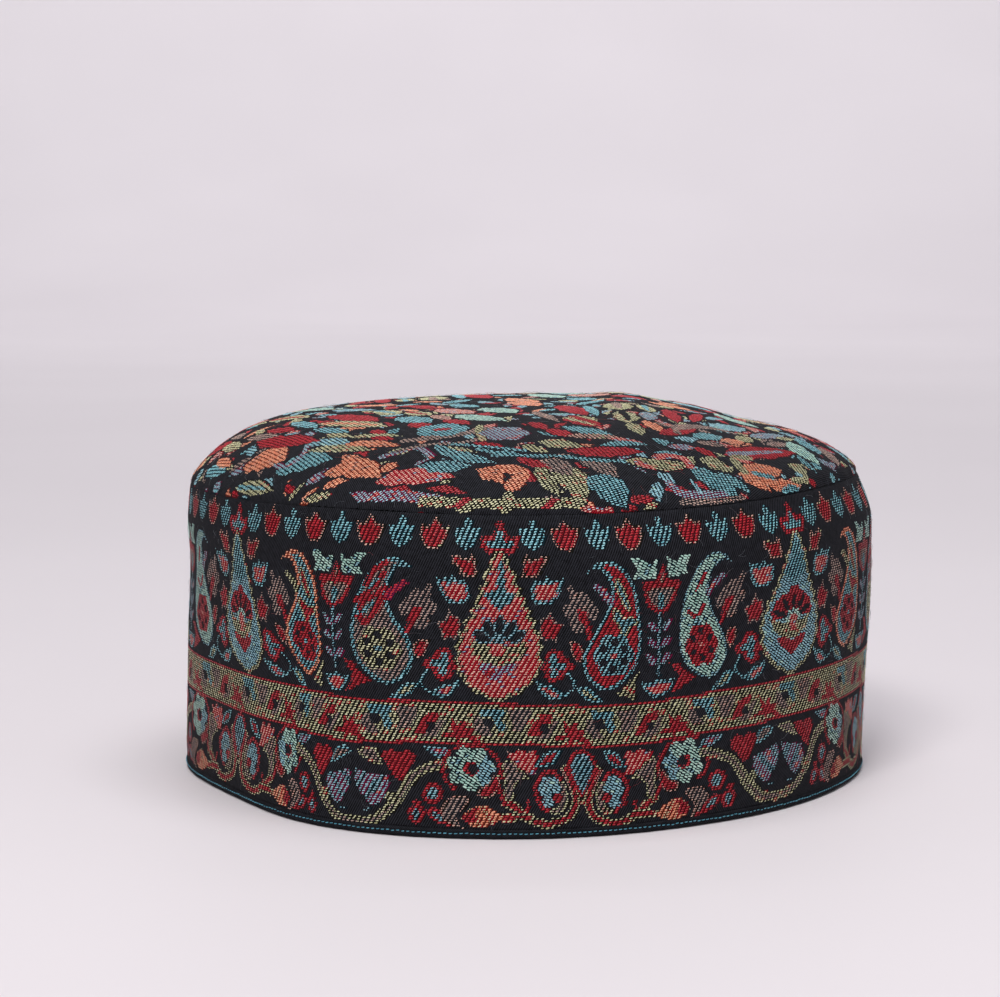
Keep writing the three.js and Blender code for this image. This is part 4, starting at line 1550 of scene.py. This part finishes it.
def floor():
    """A pale floor that curves up far behind."""
    turns = np.linspace(FLOOR_FIRST_TURN, math.pi / 2, FLOOR_TURNS)
    curve = [(FLOOR_BACK + FLOOR_CURVE * math.sin(t), FLOOR_CURVE * (1 - math.cos(t))) for t in turns]
    section = [(FLOOR_FRONT, 0.0), (FLOOR_BACK, 0.0), *curve, (FLOOR_BACK + FLOOR_CURVE, FLOOR_TOP)]
    sides = (-FLOOR_HALF_WIDTH, FLOOR_HALF_WIDTH)
    points = [(x, y, z - FLOOR_DROP) for y, z in section for x in sides]
    faces = [(2 * k, 2 * k + 1, 2 * k + 3, 2 * k + 2) for k in range(len(section) - 1)]
    mesh = bpy.data.meshes.new("pale_floor")
    mesh.from_pydata(points, [], faces)
    mesh.shade_smooth()
    nodes = Nodes("pale_floor", roughness=0.6, specular=0.2)
    tone = stretched(nodes, nodes.noise(FLOOR_TONES, 2), 0.2, 0.8)
    nodes.colour(nodes.mix(tone, srgb(222, 216, 221), srgb(228, 222, 227)))
    mesh.materials.append(nodes.material)
    new_object("pale_floor", mesh)


# Lights: name, place, what each points at, size, power, colour
CAP_MIDDLE = (0, 0, 0.06)
LIGHTS = (
    ("key_light", (-0.35, -1.2, 1.3), CAP_MIDDLE, (0.5, 0.4), 16.2, (1, 0.985, 0.955)),
    ("fill_light", (1.1, -0.8, 0.8), CAP_MIDDLE, (0.7, 0.7), 1.4, (0.97, 0.98, 1)),
    ("top_light", (0.1, -0.25, 1.5), CAP_MIDDLE, (1.0, 0.8), 11.5, (1, 1, 1)),
    ("backdrop_light", (0, 1.6, 2.6), (0, 3.4, 1.2), (3.0, 1.0), 65, (1, 1, 1)),
)
WORLD_STRENGTH = 0.2


def area_light(name, place, aim, size, power, colour):
    data = bpy.data.lights.new(name, "AREA")
    data.shape = "RECTANGLE"
    data.size, data.size_y = size
    data.energy = power
    data.color = colour
    light = new_object(name, data)
    light.location = place
    way = Vector(np.array(aim) - np.array(place))
    light.rotation_euler = way.to_track_quat("-Z", "Y").to_euler()


def lights():
    for row in LIGHTS:
        area_light(*row)
    world = bpy.data.worlds.new("studio")
    world.use_nodes = True
    background = world.node_tree.nodes["Background"]
    background.inputs["Color"].default_value = srgb(226, 224, 230)
    background.inputs["Strength"].default_value = WORLD_STRENGTH
    bpy.context.scene.world = world


CAMERA_PLACE = (-0.00725, -0.800, 0.1658)
CAMERA_PITCH = 6.598  # degrees below level
CAMERA_LENS = 105.54
CAMERA_SENSOR = 36.0


def camera():
    data = bpy.data.cameras.new("photo_camera")
    data.sensor_width = CAMERA_SENSOR
    data.lens = CAMERA_LENS
    data.clip_end = 50
    eye = new_object("photo_camera", data)
    eye.location = CAMERA_PLACE
    eye.rotation_euler = (math.radians(90 - CAMERA_PITCH), 0, 0)
    bpy.context.scene.camera = eye


camera()
yarns, grounds = make_materials()
band_chart = band_cloth(grounds)
all_dashes("band", wall_point, band_chart, yarns)
crown_chart = crown_cloth(grounds)
all_dashes("crown", crown_point, crown_chart, yarns)
hem(grounds[0])
stitches(hem_thread_material())
fibres(fibre_material())
floor()
lights()
bpy.context.scene.view_settings.view_transform = "Standard"
